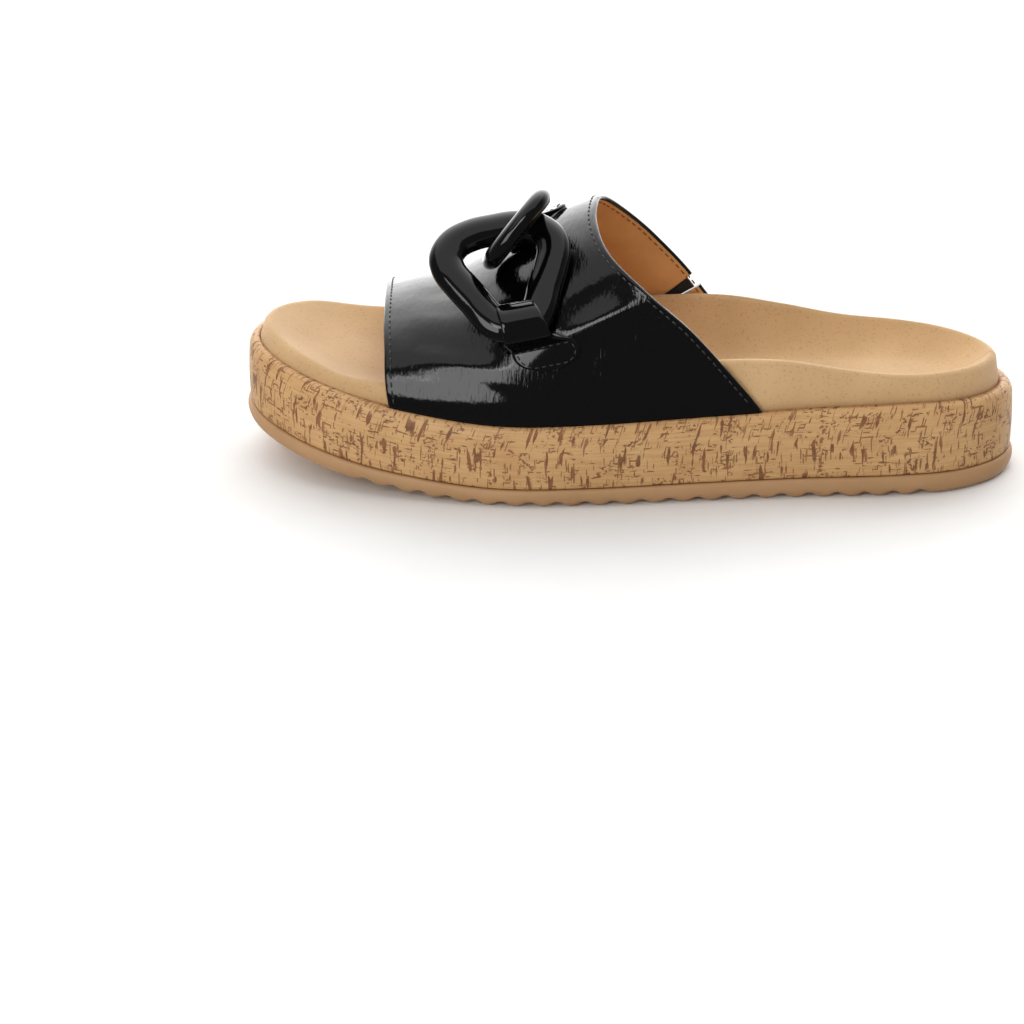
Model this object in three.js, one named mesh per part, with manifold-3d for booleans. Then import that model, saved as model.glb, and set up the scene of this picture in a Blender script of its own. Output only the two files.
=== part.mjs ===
// Left women's slide sandal: a wavy rubber outsole, a cork-wrapped platform, a deep contoured
// footbed, one wide closed strap with a small elastic gore, and two interlocked chain links
// that are held to the strap by sewn leather tabs.
// Millimetres. While it is modelled, x runs from the toe tip to the back of the heel,
// y to the medial side (the big toe's side) and z up from the ground.
import * as THREE from "three";
import { mergeVertices } from "three/addons/utils/BufferGeometryUtils.js";
import Module from "manifold-3d";

const wasm = await Module();
wasm.setup();

// Sole
const soleLength = 272;
const ballWidth = 99;
const toeSpring = 13.5; // lift of the toe tip above the ground
const springShare = 0.35; // share of the length that lifts
const springPower = 1.8;
const outsoleHeight = 7.7; // side of the rubber at the heel
const platformHeight = 25.4; // cork side at the heel
const pieceGap = 0.3; // clearance between neighbouring pieces
const soleBulge = 0.9; // how far the rubber stands out from the cork
const soleEdgeRadius = 3;
const platformEdge = 5.6; // cork lip, from the platform's side in to the footbed
const platformRound = 4.6; // height of the cork's rounded top edge
const platformFoot = 2; // height of the slight step in at the cork's lower edge
const seatDepth = 3; // recess that the footbed and the strap's edge sit in

// Tread waves
const treadPitch = 9.75;
const treadDepth = 1.7;
const treadLand = 2.4; // flat crest of each wave
const treadStart = 45; // first valley, from the toe tip
const treadEnd = 237; // last valley

// Footbed
const rimHeight = 21; // tallest point of the rim, at the medial arch, above the seam
const rimRadius = 2.6;
const rimLean = 1.1; // how far the footbed's side leans in, from the seam up to its rim
const bedHeight = 1.6; // walking surface above the seam, at its lowest
const bowlShare = 0.62; // how far in the dish falls, as a share of the way to the middle
const bowlPower = 2.2; // how quickly it falls

// Strap
const strapWall = 2;
const strapTuck = 2.4; // how deep the strap's edge goes down between footbed and cork
const strapRise = 90; // height of the instep's crest above the seam, at the back of the table
const archPower = 2.1; // fullness of the strap's cross-section

// Elastic gore
const goreThickness = 1;
const goreOpening = 5.2; // width of the slot at the strap's back edge
const goreTip = 2.2; // width at its blind end
const goreLength = 20;
const goreSetback = 2.5; // how far the elastic stays behind the strap's edge
const goreAround = 0.9; // where the slot opens, round the strap's section
const goreAngle = 0.65; // slope of the slot, forward and down, in radians

// Chain links and the tabs that hold them
const tabWall = 1.3; // leather round a link's bar
const tabSeam = 1.6; // the tab's two plies where they are sewn to the strap
const tabFold = 12.5; // width of the fold round the bar
const linkSegments = 44;
const linkSides = 10;

// Middle line of each link, from the bar that its tab holds to its far end: half widths as
// shares of the link's half width, and shares of its length.
const wideLink = [
  { across: 0.0, along: 0.0 },
  { across: 0.26, along: 0.0 },
  { across: 0.45, along: 0.1 },
  { across: 0.64, along: 0.3 },
  { across: 0.84, along: 0.5 },
  { across: 0.97, along: 0.66 },
  { across: 0.97, along: 0.8 },
  { across: 0.76, along: 0.93 },
  { across: 0.4, along: 0.992 },
  { across: 0.0, along: 1.0 },
];
const ovalLink = [
  { across: 0.0, along: 0.0 },
  { across: 0.5, along: 0.02 },
  { across: 0.85, along: 0.1 },
  { across: 1.0, along: 0.3 },
  { across: 1.0, along: 0.5 },
  { across: 1.0, along: 0.7 },
  { across: 0.85, along: 0.9 },
  { across: 0.5, along: 0.98 },
  { across: 0.0, along: 1.0 },
];

// The two links. length and width are those of the middle line, breadth and depth those of its
// section. share, around and lift place the bar over the strap, and slope, tilt and turn are
// degrees. Its tab is sewn on from around tabFrom to around tabTo, and tabShare is its width as
// a share of the sizes below.
const chain = [
  {
    side: "lateral", hand: 1, line: wideLink, length: 37, width: 38, breadth: 12.2, depth: 7.8,
    share: 0.3707, around: 0.199, lift: 10.55, slope: -4.6, tilt: 43, turn: 18.3,
    tabFrom: 0.19, tabTo: 0.105, tabShare: 1,
  },
  {
    side: "medial", hand: -1, line: ovalLink, length: 36, width: 26, breadth: 8.4, depth: 6.8,
    share: 0.3654, around: 0.447, lift: 7.65, slope: 53, tilt: 8.8, turn: -19.5,
    tabFrom: 0.44, tabTo: 0.6, tabShare: 0.72,
  },
];

// Front and back edges of a tab, in millimetres from the middle of its fold, at each share of
// the way from the fold to its sewn end.
const tabEdges = [
  { down: 0.0, front: -6.2, back: 6.5 },
  { down: 0.36, front: -3.8, back: 15.6 },
  { down: 0.62, front: -2.6, back: 19.4 },
  { down: 0.84, front: 0.4, back: 18.4 },
  { down: 1.0, front: 6, back: 12.5 },
];

// Plan of the sole: half widths at each share of the length, as shares of the ball width.
const plan = [
  { along: 0.0, lateral: -0.018, medial: 0.018 },
  { along: 0.016, lateral: 0.15, medial: 0.215 },
  { along: 0.068, lateral: 0.312, medial: 0.392 },
  { along: 0.147, lateral: 0.432, medial: 0.456 },
  { along: 0.25, lateral: 0.498, medial: 0.474 },
  { along: 0.36, lateral: 0.535, medial: 0.466 },
  { along: 0.47, lateral: 0.506, medial: 0.434 },
  { along: 0.588, lateral: 0.448, medial: 0.394 },
  { along: 0.72, lateral: 0.388, medial: 0.368 },
  { along: 0.85, lateral: 0.345, medial: 0.35 },
  { along: 0.927, lateral: 0.282, medial: 0.29 },
  { along: 0.98, lateral: 0.157, medial: 0.167 },
  { along: 1.0, lateral: -0.005, medial: 0.005 },
];

// Side heights along the sole, as shares of outsoleHeight and platformHeight, and the width of
// the cork's lip, as a share of platformEdge.
const sides = [
  { along: 0.0, rubber: 0.86, cork: 0.925, lip: 0.72 },
  { along: 0.17, rubber: 0.85, cork: 0.913, lip: 0.96 },
  { along: 0.39, rubber: 0.83, cork: 0.89, lip: 1.0 },
  { along: 0.65, rubber: 0.93, cork: 0.945, lip: 1.0 },
  { along: 0.86, rubber: 1.0, cork: 1.0, lip: 1.0 },
  { along: 1.0, rubber: 1.0, cork: 0.96, lip: 0.9 },
];

// Rim of the footbed above the seam, as shares of rimHeight.
const rim = [
  { along: 0.0, lateral: 0.31, medial: 0.31 },
  { along: 0.08, lateral: 0.25, medial: 0.29 },
  { along: 0.13, lateral: 0.22, medial: 0.3 },
  { along: 0.19, lateral: 0.32, medial: 0.36 },
  { along: 0.3, lateral: 0.44, medial: 0.48 },
  { along: 0.42, lateral: 0.6, medial: 0.72 },
  { along: 0.53, lateral: 0.8, medial: 0.93 },
  { along: 0.62, lateral: 0.885, medial: 0.97 },
  { along: 0.7, lateral: 0.81, medial: 0.82 },
  { along: 0.78, lateral: 0.59, medial: 0.62 },
  { along: 0.86, lateral: 0.44, medial: 0.54 },
  { along: 0.93, lateral: 0.45, medial: 0.5 },
  { along: 1.0, lateral: 0.48, medial: 0.48 },
];

// Crest of the strap, as shares of strapRise, and its place across, as a share of the ball width.
const instep = [
  { along: 0.16, crest: 0.265, across: 0.02 },
  { along: 0.19, crest: 0.285, across: 0.03 },
  { along: 0.22, crest: 0.32, across: 0.04 },
  { along: 0.27, crest: 0.374, across: 0.05 },
  { along: 0.33, crest: 0.487, across: 0.07 },
  { along: 0.37, crest: 0.566, across: 0.08 },
  { along: 0.41, crest: 0.637, across: 0.08 },
  { along: 0.46, crest: 0.7, across: 0.08 },
  { along: 0.55, crest: 0.815, across: 0.07 },
  { along: 0.7, crest: 1.0, across: 0.04 },
];

// Front and back edges of the strap, round its cross-section from lateral 0 to medial 1,
// as shares of the sole's length.
const edges = [
  { around: 0.0, front: 0.1985, back: 0.675 },
  { around: 0.05, front: 0.195, back: 0.635 },
  { around: 0.12, front: 0.192, back: 0.585 },
  { around: 0.2, front: 0.19, back: 0.5285 },
  { around: 0.3, front: 0.186, back: 0.479 },
  { around: 0.4, front: 0.183, back: 0.4595 },
  { around: 0.5, front: 0.18, back: 0.4585 },
  { around: 0.6, front: 0.177, back: 0.466 },
  { around: 0.7, front: 0.1755, back: 0.488 },
  { around: 0.8, front: 0.175, back: 0.5275 },
  { around: 0.88, front: 0.1755, back: 0.5715 },
  { around: 0.95, front: 0.176, back: 0.6135 },
  { around: 1.0, front: 0.1765, back: 0.6545 },
];

// A smooth curve through one column of a table, read at a share of another column.
function track(rows, key, column) {
  const slope = (i) => {
    const a = rows[Math.max(i - 1, 0)];
    const b = rows[Math.min(i + 1, rows.length - 1)];
    return (b[column] - a[column]) / (b[key] - a[key]);
  };
  return (share) => {
    const s = Math.min(Math.max(share, rows[0][key]), rows[rows.length - 1][key]);
    let i = 0;
    while (i < rows.length - 2 && s > rows[i + 1][key]) i += 1;
    const width = rows[i + 1][key] - rows[i][key];
    const t = (s - rows[i][key]) / width;
    const blend = t * t * (3 - 2 * t);
    const level = rows[i][column] * (1 - blend) + rows[i + 1][column] * blend;
    const lead = slope(i) * t * (1 - t) * (1 - t) - slope(i + 1) * t * t * (1 - t);
    return level + lead * width;
  };
}

const rubberShare = track(sides, "along", "rubber");
const corkShare = track(sides, "along", "cork");
const lipShare = track(sides, "along", "lip");
const rimLateral = track(rim, "along", "lateral");
const rimMedial = track(rim, "along", "medial");
const crestShare = track(instep, "along", "crest");
const crestAcross = track(instep, "along", "across");
const edgeFront = track(edges, "around", "front");
const edgeBack = track(edges, "around", "back");
const tabFront = track(tabEdges, "down", "front");
const tabBack = track(tabEdges, "down", "back");

// Heights of the sole's layers at x.
function groundAt(x) {
  const run = soleLength * springShare;
  return toeSpring * Math.pow(Math.max(0, (run - x) / run), springPower);
}
const rubberTop = (x) => groundAt(x) + outsoleHeight * rubberShare(x / soleLength);
const seamAt = (x) => rubberTop(x) + platformHeight * corkShare(x / soleLength);

// The sole's outline as a ring of stations: the toe tip, the lateral side to the heel, the
// back of the heel, and the medial side to the toe. Stations k on both sides share one x.
const stations = 34;

function soleRing() {
  const lateral = plan.map((row) => [row.along, -row.lateral]);
  const medial = plan.slice(1, -1).map((row) => [row.along, row.medial]);
  const tip = [0, (plan[0].medial - plan[0].lateral) / 2];
  const back = [1, (plan[plan.length - 1].medial - plan[plan.length - 1].lateral) / 2];
  const loop = [tip, ...lateral.slice(1, -1), back, ...medial.reverse()];
  const points = loop.map(
    ([along, across]) => new THREE.Vector3(along * soleLength, across * ballWidth, 0),
  );
  const curve = new THREE.CatmullRomCurve3(points, true, "centripetal");
  const fine = curve.getPoints(720);
  const low = Math.min(...fine.map((p) => p.x));
  const high = Math.max(...fine.map((p) => p.x));
  const first = fine.findIndex((p) => p.x === low);
  const turned = [...fine.slice(first, -1), ...fine.slice(0, first), fine[first]];
  const last = turned.findIndex((p) => p.x === high);
  const sideAt = (side, x) => {
    const i = Math.max(1, side.findIndex((p) => p.x >= x));
    const t = (x - side[i - 1].x) / (side[i].x - side[i - 1].x);
    return side[i - 1].y + (side[i].y - side[i - 1].y) * t;
  };
  const lateralSide = turned.slice(0, last + 1);
  const medialSide = turned.slice(last).reverse();
  const ring = [];
  for (let k = 0; k < 2 * stations; k += 1) {
    const share = (1 - Math.cos((Math.PI * k) / stations)) / 2;
    const x = low + (high - low) * share;
    const side = k <= stations ? lateralSide : medialSide;
    const y = k % stations ? sideAt(side, x) : side[k ? side.length - 1 : 0].y;
    ring.push(new THREE.Vector2(x, y));
  }
  return ring;
}

const isMedial = (k) => k > stations;

// The ring moved outwards by a distance, or inwards where it is negative.
function offset(ring, distance) {
  const n = ring.length;
  return ring.map((p, k) => {
    const along = ring[(k + 1) % n].clone().sub(ring[(k + n - 1) % n]).normalize();
    const d = typeof distance === "function" ? distance(p, k) : distance;
    return new THREE.Vector2(p.x + along.y * d, p.y - along.x * d);
  });
}

const lift = (ring, height) => ring.map((p, k) => new THREE.Vector3(p.x, p.y, height(p, k)));

// Distance across from the middle line to a ring's side, at x.
function sideOf(ring, medial) {
  const side = ring.filter((p, k) => k % stations === 0 || isMedial(k) === medial);
  side.sort((a, b) => a.x - b.x);
  return (x) => {
    const i = Math.min(Math.max(1, side.findIndex((p) => p.x >= x)), side.length - 1);
    const t = (x - side[i - 1].x) / (side[i].x - side[i - 1].x);
    return side[i - 1].y + (side[i].y - side[i - 1].y) * t;
  };
}

function geometryOf(points, faces) {
  const geometry = new THREE.BufferGeometry();
  geometry.setAttribute(
    "position",
    new THREE.Float32BufferAttribute(points.flatMap((p) => [p.x, p.y, p.z]), 3),
  );
  geometry.setIndex(faces.flat());
  return geometry;
}

// A closed body through rings that run anticlockwise seen from above, with strips of quads
// across the first and last ring, from station to station.
function stack(rings) {
  const n = rings[0].length;
  const points = rings.flat();
  const faces = [];
  for (let j = 0; j + 1 < rings.length; j += 1) {
    for (let k = 0; k < n; k += 1) {
      const a = j * n + k;
      const b = j * n + ((k + 1) % n);
      faces.push([a, b, b + n], [a, b + n, a + n]);
    }
  }
  const cap = (base, up) => {
    for (let k = 0; k < stations; k += 1) {
      const a = base + k;
      const b = base + k + 1;
      const c = base + ((2 * stations - k - 1) % n);
      const d = base + ((2 * stations - k) % n);
      const pair = k + 1 === stations ? [[a, b, d]] : [[a, b, c], [a, c, d]];
      const kept = k === 0 ? [[a, b, c]] : pair;
      kept.forEach((f) => faces.push(up ? f : [f[0], f[2], f[1]]));
    }
  };
  cap(0, false);
  cap((rings.length - 1) * n, true);
  return geometryOf(points, faces);
}

function solidOf(geometry) {
  const bare = geometry.clone();
  bare.deleteAttribute("normal");
  bare.deleteAttribute("uv");
  const merged = mergeVertices(bare, 1e-4);
  return new wasm.Manifold(
    new wasm.Mesh({
      numProp: 3,
      vertProperties: new Float32Array(merged.attributes.position.array),
      triVerts: new Uint32Array(merged.index.array),
    }),
  );
}

function geometryFrom(solid) {
  const mesh = solid.getMesh();
  const geometry = new THREE.BufferGeometry();
  geometry.setAttribute("position", new THREE.BufferAttribute(mesh.vertProperties, 3));
  geometry.setIndex(new THREE.BufferAttribute(mesh.triVerts, 1));
  return geometry;
}

const soleOutline = soleRing();
const footbedOutline = offset(soleOutline, (p) => -platformEdge * lipShare(p.x / soleLength));
const footLateral = sideOf(footbedOutline, false);
const footMedial = sideOf(footbedOutline, true);

// Outsole: a rounded lower edge, a side that stands out a little, and wave valleys cut across.
function outsole() {
  const levels = [
    { out: soleBulge - soleEdgeRadius, up: 0 },
    { out: soleBulge - soleEdgeRadius * 0.3, up: 0.12 },
    { out: soleBulge, up: 0.42 },
    { out: soleBulge, up: 0.72 },
    { out: 0.2, up: 1 },
  ];
  const rings = levels.map(({ out, up }) =>
    lift(offset(soleOutline, out), (p) => {
      const low = groundAt(p.x);
      return low + (rubberTop(p.x) - low) * up;
    }),
  );
  const body = solidOf(stack(rings));
  const valleys = treadValleys();
  return geometryFrom(valleys.reduce((solid, valley) => solid.subtract(valley), body));
}

function treadValleys() {
  const half = (treadPitch - treadLand) / 2;
  const count = Math.round((treadEnd - treadStart) / treadPitch);
  const found = [];
  for (let i = 0; i <= count; i += 1) {
    const x = treadStart + i * treadPitch;
    const shape = new THREE.Shape();
    shape.moveTo(-half, -treadDepth);
    shape.lineTo(half, -treadDepth);
    shape.lineTo(half, 0);
    shape.bezierCurveTo(half * 0.45, treadDepth * 0.1, half * 0.5, treadDepth, 0, treadDepth);
    shape.bezierCurveTo(-half * 0.5, treadDepth, -half * 0.45, treadDepth * 0.1, -half, 0);
    const bar = new THREE.ExtrudeGeometry(shape, {
      depth: 2 * ballWidth,
      bevelEnabled: false,
      curveSegments: 3,
    });
    bar.translate(0, 0, -ballWidth);
    bar.rotateX(Math.PI / 2);
    const slope = Math.atan2(groundAt(x + 1) - groundAt(x - 1), 2);
    bar.rotateY(-slope);
    bar.translate(x, 0, groundAt(x));
    found.push(solidOf(bar));
  }
  return found;
}

// Platform: cork side, rounded lip, and the recess for the footbed and the strap's edge.
const lipInset = 0.55; // share of the lip that the rounded edge takes
function platform() {
  const low = (p) => rubberTop(p.x) + pieceGap;
  const seat = offset(footbedOutline, pieceGap);
  const lip = (platformEdge - pieceGap) * lipInset;
  const rounded = [0, 0.35, 0.7].map((turn) => {
    const angle = (turn * Math.PI) / 2;
    return lift(
      offset(soleOutline, -lip * (1 - Math.cos(angle))),
      (p) => seamAt(p.x) - platformRound * (1 - Math.sin(angle)),
    );
  });
  const rings = [
    lift(offset(soleOutline, -pieceGap), low),
    lift(soleOutline, (p) => low(p) + platformFoot),
    ...rounded,
    lift(seat, (p) => seamAt(p.x)),
    lift(seat, (p) => seamAt(p.x) - seatDepth),
  ];
  const pocket = strapShell(-2 * pieceGap, strapWall + pieceGap, pieceGap);
  return geometryFrom(solidOf(stack(rings)).subtract(pocket));
}

// Footbed: side wall, rounded rim and a dish that falls to the walking surface.
function rimTop(p, k) {
  const share = p.x / soleLength;
  const height = isMedial(k) ? rimMedial(share) : rimLateral(share);
  return seamAt(p.x) + rimHeight * height;
}

// The footbed's middle line, which the dish closes on; its ends stay clear of toe and heel.
const spineStart = 0.17;
const spineEnd = 0.85;
function spineOf(p) {
  const x = Math.min(Math.max(p.x, spineStart * soleLength), spineEnd * soleLength);
  return new THREE.Vector2(x, (footLateral(x) + footMedial(x)) / 2);
}

function footbed() {
  const side = footbedOutline;
  const heights = side.map((p, k) => rimTop(p, k));
  const crest = offset(side, -rimLean - rimRadius);
  const rings = [
    lift(offset(side, -pieceGap), (p) => seamAt(p.x) - seatDepth + pieceGap),
    lift(side, (p) => seamAt(p.x)),
    lift(offset(side, -rimLean), (p, k) => heights[k] - rimRadius * 0.9),
    lift(offset(side, -rimLean - rimRadius * 0.3), (p, k) => heights[k] - rimRadius * 0.25),
    lift(crest, (p, k) => heights[k]),
  ];
  [0.07, 0.16, 0.3, 0.5, 0.75].forEach((inward) => {
    const ring = crest.map((p) => p.clone().lerp(spineOf(p), inward));
    const fall = Math.pow(Math.max(0, 1 - inward / bowlShare), bowlPower);
    rings.push(
      lift(ring, (p, k) => {
        const bed = seamAt(p.x) + bedHeight;
        return bed + (heights[k] - bed) * fall;
      }),
    );
  });
  return stack(rings);
}

// A point on the strap's inner surface. around runs over the foot from the lateral seam, 0,
// to the medial seam, 1.
function strapPoint(x, around) {
  const angle = Math.PI * around;
  const middle = crestAcross(x / soleLength) * ballWidth;
  const seam = around < 0.5 ? footLateral(x) - pieceGap : footMedial(x) + pieceGap;
  const reach = Math.pow(Math.abs(Math.cos(angle)), 2 / archPower);
  const rise = Math.pow(Math.max(Math.sin(angle), 0), 2 / archPower);
  return new THREE.Vector3(
    x,
    middle + (seam - middle) * reach,
    seamAt(x) + strapRise * crestShare(x / soleLength) * rise,
  );
}

// The same point pushed outwards, square to the surface.
function strapSurface(x, around, out) {
  const step = 0.004;
  const near = Math.min(Math.max(around, step), 1 - step);
  const across = strapPoint(x, near + step).sub(strapPoint(x, near - step));
  const along = strapPoint(x + 0.5, near).sub(strapPoint(x - 0.5, near));
  const normal = along.cross(across).normalize();
  if (around <= 0 || around >= 1) normal.set(0, around <= 0 ? -1 : 1, 0);
  return strapPoint(x, around).addScaledVector(normal, out);
}

const strapColumns = 28;
const strapRows = 15;

// The strap's shell between two distances from its inner surface, tucked in at both seams.
// grow lengthens it past its edges.
function strapShell(inner, outer, grow = 0) {
  const layer = (out) =>
    Array.from({ length: strapRows + 1 }, (_, j) =>
      Array.from({ length: strapColumns + 3 }, (unused, i) => {
        const around = Math.min(Math.max((i - 1) / strapColumns, 0), 1);
        const front = edgeFront(around) * soleLength - grow;
        const back = edgeBack(around) * soleLength + grow;
        const p = strapSurface(front + ((back - front) * j) / strapRows, around, out);
        if (i === 0 || i === strapColumns + 2) p.z -= strapTuck + grow;
        return p;
      }),
    );
  return solidOf(thickSheet(layer(inner), layer(outer)));
}

// A closed body between two grids of the same size, the second one on the outside.
function thickSheet(inside, outside) {
  const rows = inside.length;
  const columns = inside[0].length;
  const points = [...inside.flat(), ...outside.flat()];
  const at = (layer, j, i) => layer * rows * columns + j * columns + i;
  const faces = [];
  const quad = (a, b, c, d) => faces.push([a, b, c], [a, c, d]);
  for (let j = 0; j + 1 < rows; j += 1) {
    for (let i = 0; i + 1 < columns; i += 1) {
      quad(at(0, j, i), at(0, j, i + 1), at(0, j + 1, i + 1), at(0, j + 1, i));
      quad(at(1, j, i), at(1, j + 1, i), at(1, j + 1, i + 1), at(1, j, i + 1));
    }
  }
  const last = rows - 1;
  for (let i = 0; i + 1 < columns; i += 1) {
    quad(at(0, 0, i), at(1, 0, i), at(1, 0, i + 1), at(0, 0, i + 1));
    quad(at(0, last, i), at(0, last, i + 1), at(1, last, i + 1), at(1, last, i));
  }
  const end = columns - 1;
  for (let j = 0; j + 1 < rows; j += 1) {
    quad(at(0, j, 0), at(0, j + 1, 0), at(1, j + 1, 0), at(1, j, 0));
    quad(at(0, j, end), at(1, j, end), at(1, j + 1, end), at(0, j + 1, end));
  }
  return geometryOf(points, faces);
}

// An outline in the x-z plane, drawn through corner points, as a bar that runs along y.
function sideBar(corners, fromY, toY) {
  const shape = new THREE.Shape(corners.map(([x, z]) => new THREE.Vector2(x, z)));
  const depth = Math.abs(toY - fromY);
  const bar = new THREE.ExtrudeGeometry(shape, { depth, bevelEnabled: false });
  bar.rotateX(Math.PI / 2);
  bar.translate(0, Math.max(fromY, toY), 0);
  return solidOf(bar);
}

// The gore's wedge, seen from the side: it opens at the strap's back edge on the medial side
// and runs forward and down. grow widens it all round, start cuts its wide end back.
function goreWedge(grow, start) {
  const back = edgeBack(goreAround) * soleLength;
  const mouth = strapPoint(back, goreAround);
  const way = new THREE.Vector2(-Math.cos(goreAngle), -Math.sin(goreAngle));
  const side = new THREE.Vector2(-way.y, way.x);
  const corner = (far, hand) => {
    const width = goreOpening + ((goreTip - goreOpening) * far) / goreLength;
    const p = new THREE.Vector2(mouth.x, mouth.z).addScaledVector(way, far);
    p.addScaledVector(side, hand * (width / 2 + grow));
    return [p.x, p.y];
  };
  const end = goreLength + grow;
  const corners = [corner(start, 1), corner(start, -1), corner(end, -1), corner(end, 1)];
  return sideBar(corners, mouth.y / 2, mouth.y * 2);
}

// Where a link lies: its bar's middle, and the ways across, along and out of the link's face.
function linkPlace(link) {
  const [slope, tilt, turn] = [link.slope, link.tilt, link.turn].map(THREE.MathUtils.degToRad);
  const level = new THREE.Vector3(Math.cos(slope), 0, Math.sin(slope));
  const up = new THREE.Vector3(-Math.sin(slope), 0, Math.cos(slope));
  const rise = up.multiplyScalar(Math.sin(tilt));
  rise.y = link.hand * Math.cos(tilt);
  const across = level.clone().multiplyScalar(Math.cos(turn)).addScaledVector(rise, Math.sin(turn));
  const along = rise.clone().multiplyScalar(Math.cos(turn)).addScaledVector(level, -Math.sin(turn));
  const face = across.clone().cross(along).multiplyScalar(link.hand);
  const origin = strapSurface(link.share * soleLength, link.around, link.lift);
  return { origin, across: across.multiplyScalar(link.hand), along, face };
}

// A closed band through sections of equal size, the last one joined to the first.
function loopOf(sections) {
  const sides = sections[0].length;
  const faces = [];
  sections.forEach((section, i) => {
    const next = (i + 1) % sections.length;
    for (let j = 0; j < sides; j += 1) {
      const turn = (j + 1) % sides;
      const [a, b] = [i * sides + j, i * sides + turn];
      const [c, d] = [next * sides + j, next * sides + turn];
      faces.push([a, d, b], [a, c, d]);
    }
  });
  return geometryOf(sections.flat(), faces);
}

// A link: an oval section carried round its middle line. grow thickens the section all round.
function linkRing(link, grow = 0) {
  const { origin, across, along, face } = linkPlace(link);
  const there = link.line.map((row) => [row.across, row.along]);
  const back = there.slice(1, -1).reverse().map(([w, l]) => [-w, l]);
  const points = [...there, ...back].map(
    ([w, l]) => new THREE.Vector3((w * link.width) / 2, l * link.length, 0),
  );
  const curve = new THREE.CatmullRomCurve3(points, true, "centripetal");
  const line = curve.getSpacedPoints(linkSegments).slice(0, linkSegments);
  const sections = line.map((p, i) => {
    const before = line[(i + linkSegments - 1) % linkSegments];
    const way = line[(i + 1) % linkSegments].clone().sub(before).normalize();
    return Array.from({ length: linkSides }, (_, j) => {
      const angle = (2 * Math.PI * j) / linkSides;
      const out = (link.breadth / 2 + grow) * Math.cos(angle);
      const high = (link.depth / 2 + grow) * Math.sin(angle);
      return origin
        .clone()
        .addScaledVector(across, p.x + way.y * out)
        .addScaledVector(along, p.y - way.x * out)
        .addScaledVector(face, high);
    });
  });
  return loopOf(sections);
}

// The smallest convex outline round points in a plane, anticlockwise.
function outlineOf(points) {
  const sorted = [...points].sort((a, b) => a.x - b.x || a.y - b.y);
  const half = (list) => {
    const kept = [];
    for (const p of list) {
      while (kept.length > 1) {
        const [a, b] = kept.slice(-2);
        if ((b.x - a.x) * (p.y - a.y) - (b.y - a.y) * (p.x - a.x) > 0) break;
        kept.pop();
      }
      kept.push(p);
    }
    return kept.slice(0, -1);
  };
  return [...half(sorted), ...half(sorted.reverse())];
}

// A tab: leather folded round the link's bar, and its two plies sewn flat on the strap.
const tabRows = 8;
const tabColumns = 6;
const tabTail = 0.42; // how far down the sewn part the fold's outer ply comes to rest
function tab(link) {
  const { origin, across, along, face } = linkPlace(link);
  const middle = link.share * soleLength;
  const aroundAt = (down) => link.tabFrom + (link.tabTo - link.tabFrom) * down;
  const under = strapWall + pieceGap;
  const layer = (out) =>
    Array.from({ length: tabRows + 1 }, (_, j) => {
      const down = j / tabRows;
      return Array.from({ length: tabColumns + 1 }, (unused, i) => {
        const step = i / tabColumns;
        const aside = tabFront(down) * (1 - step) + tabBack(down) * step;
        return strapSurface(middle + aside * link.tabShare, aroundAt(down), out);
      });
    });
  const plies = [layer(strapWall), layer(under + tabSeam)];
  const sewn = solidOf(thickSheet(...(link.hand < 0 ? plies.reverse() : plies)));
  const inPlane = (p) => {
    const away = p.sub(origin);
    return new THREE.Vector2(away.dot(along), away.dot(face));
  };
  const skin = pieceGap + tabWall;
  const fold = Array.from({ length: 20 }, (_, i) => {
    const angle = (2 * Math.PI * i) / 20;
    const reach = new THREE.Vector2(link.breadth / 2 + skin, link.depth / 2 + skin);
    return new THREE.Vector2(reach.x * Math.cos(angle), reach.y * Math.sin(angle));
  });
  const feet = [0, tabTail].flatMap((down) =>
    [0, under + tabSeam].map((out) => inPlane(strapSurface(middle, aroundAt(down), out))),
  );
  const outline = new THREE.Shape(outlineOf([...fold, ...feet]));
  const width = tabFold * link.tabShare;
  const block = new THREE.ExtrudeGeometry(outline, { depth: width, bevelEnabled: false });
  block.translate(0, 0, -width / 2);
  const turn = new THREE.Matrix4().makeBasis(along, face, across).setPosition(origin);
  block.applyMatrix4(turn);
  const body = solidOf(block).add(sewn);
  const hollow = solidOf(linkRing(link, pieceGap));
  return geometryFrom(body.subtract(hollow).subtract(strapShell(-strapWall, under)));
}

const meshes = [];
function add(name, geometry, colour, roughness) {
  const material = new THREE.MeshStandardMaterial({ color: colour, roughness, metalness: 0 });
  const mesh = new THREE.Mesh(geometry, material);
  mesh.name = name;
  meshes.push(mesh);
}

add("outsole", outsole(), 0xa07e5c, 0.6);
add("cork_platform", platform(), 0xcfa168, 0.7);
add("footbed", footbed(), 0xd3ab75, 0.9);
const goreSlot = goreWedge(0, -goreOpening);
const strap = strapShell(0, strapWall).subtract(goreSlot);
add("strap", geometryFrom(strap), 0x0c0c0d, 0.12);
const goreInside = (strapWall - goreThickness) / 2;
const goreSheet = strapShell(goreInside, goreInside + goreThickness);
add("elastic_gore", geometryFrom(goreSheet.intersect(goreWedge(-pieceGap, goreSetback))), 0x141414, 0.9);
for (const link of chain) {
  add(`link_${link.side}`, linkRing(link), 0x0c0c0d, 0.1);
  add(`tab_${link.side}`, tab(link), 0x0e0e0f, 0.15);
}

const sandal = new THREE.Group();
sandal.add(...meshes);
const box = new THREE.Box3().setFromObject(sandal);
const centre = box.getCenter(new THREE.Vector3());
sandal.position.set(-centre.x, -centre.y, -box.min.z);

export default sandal;
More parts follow.
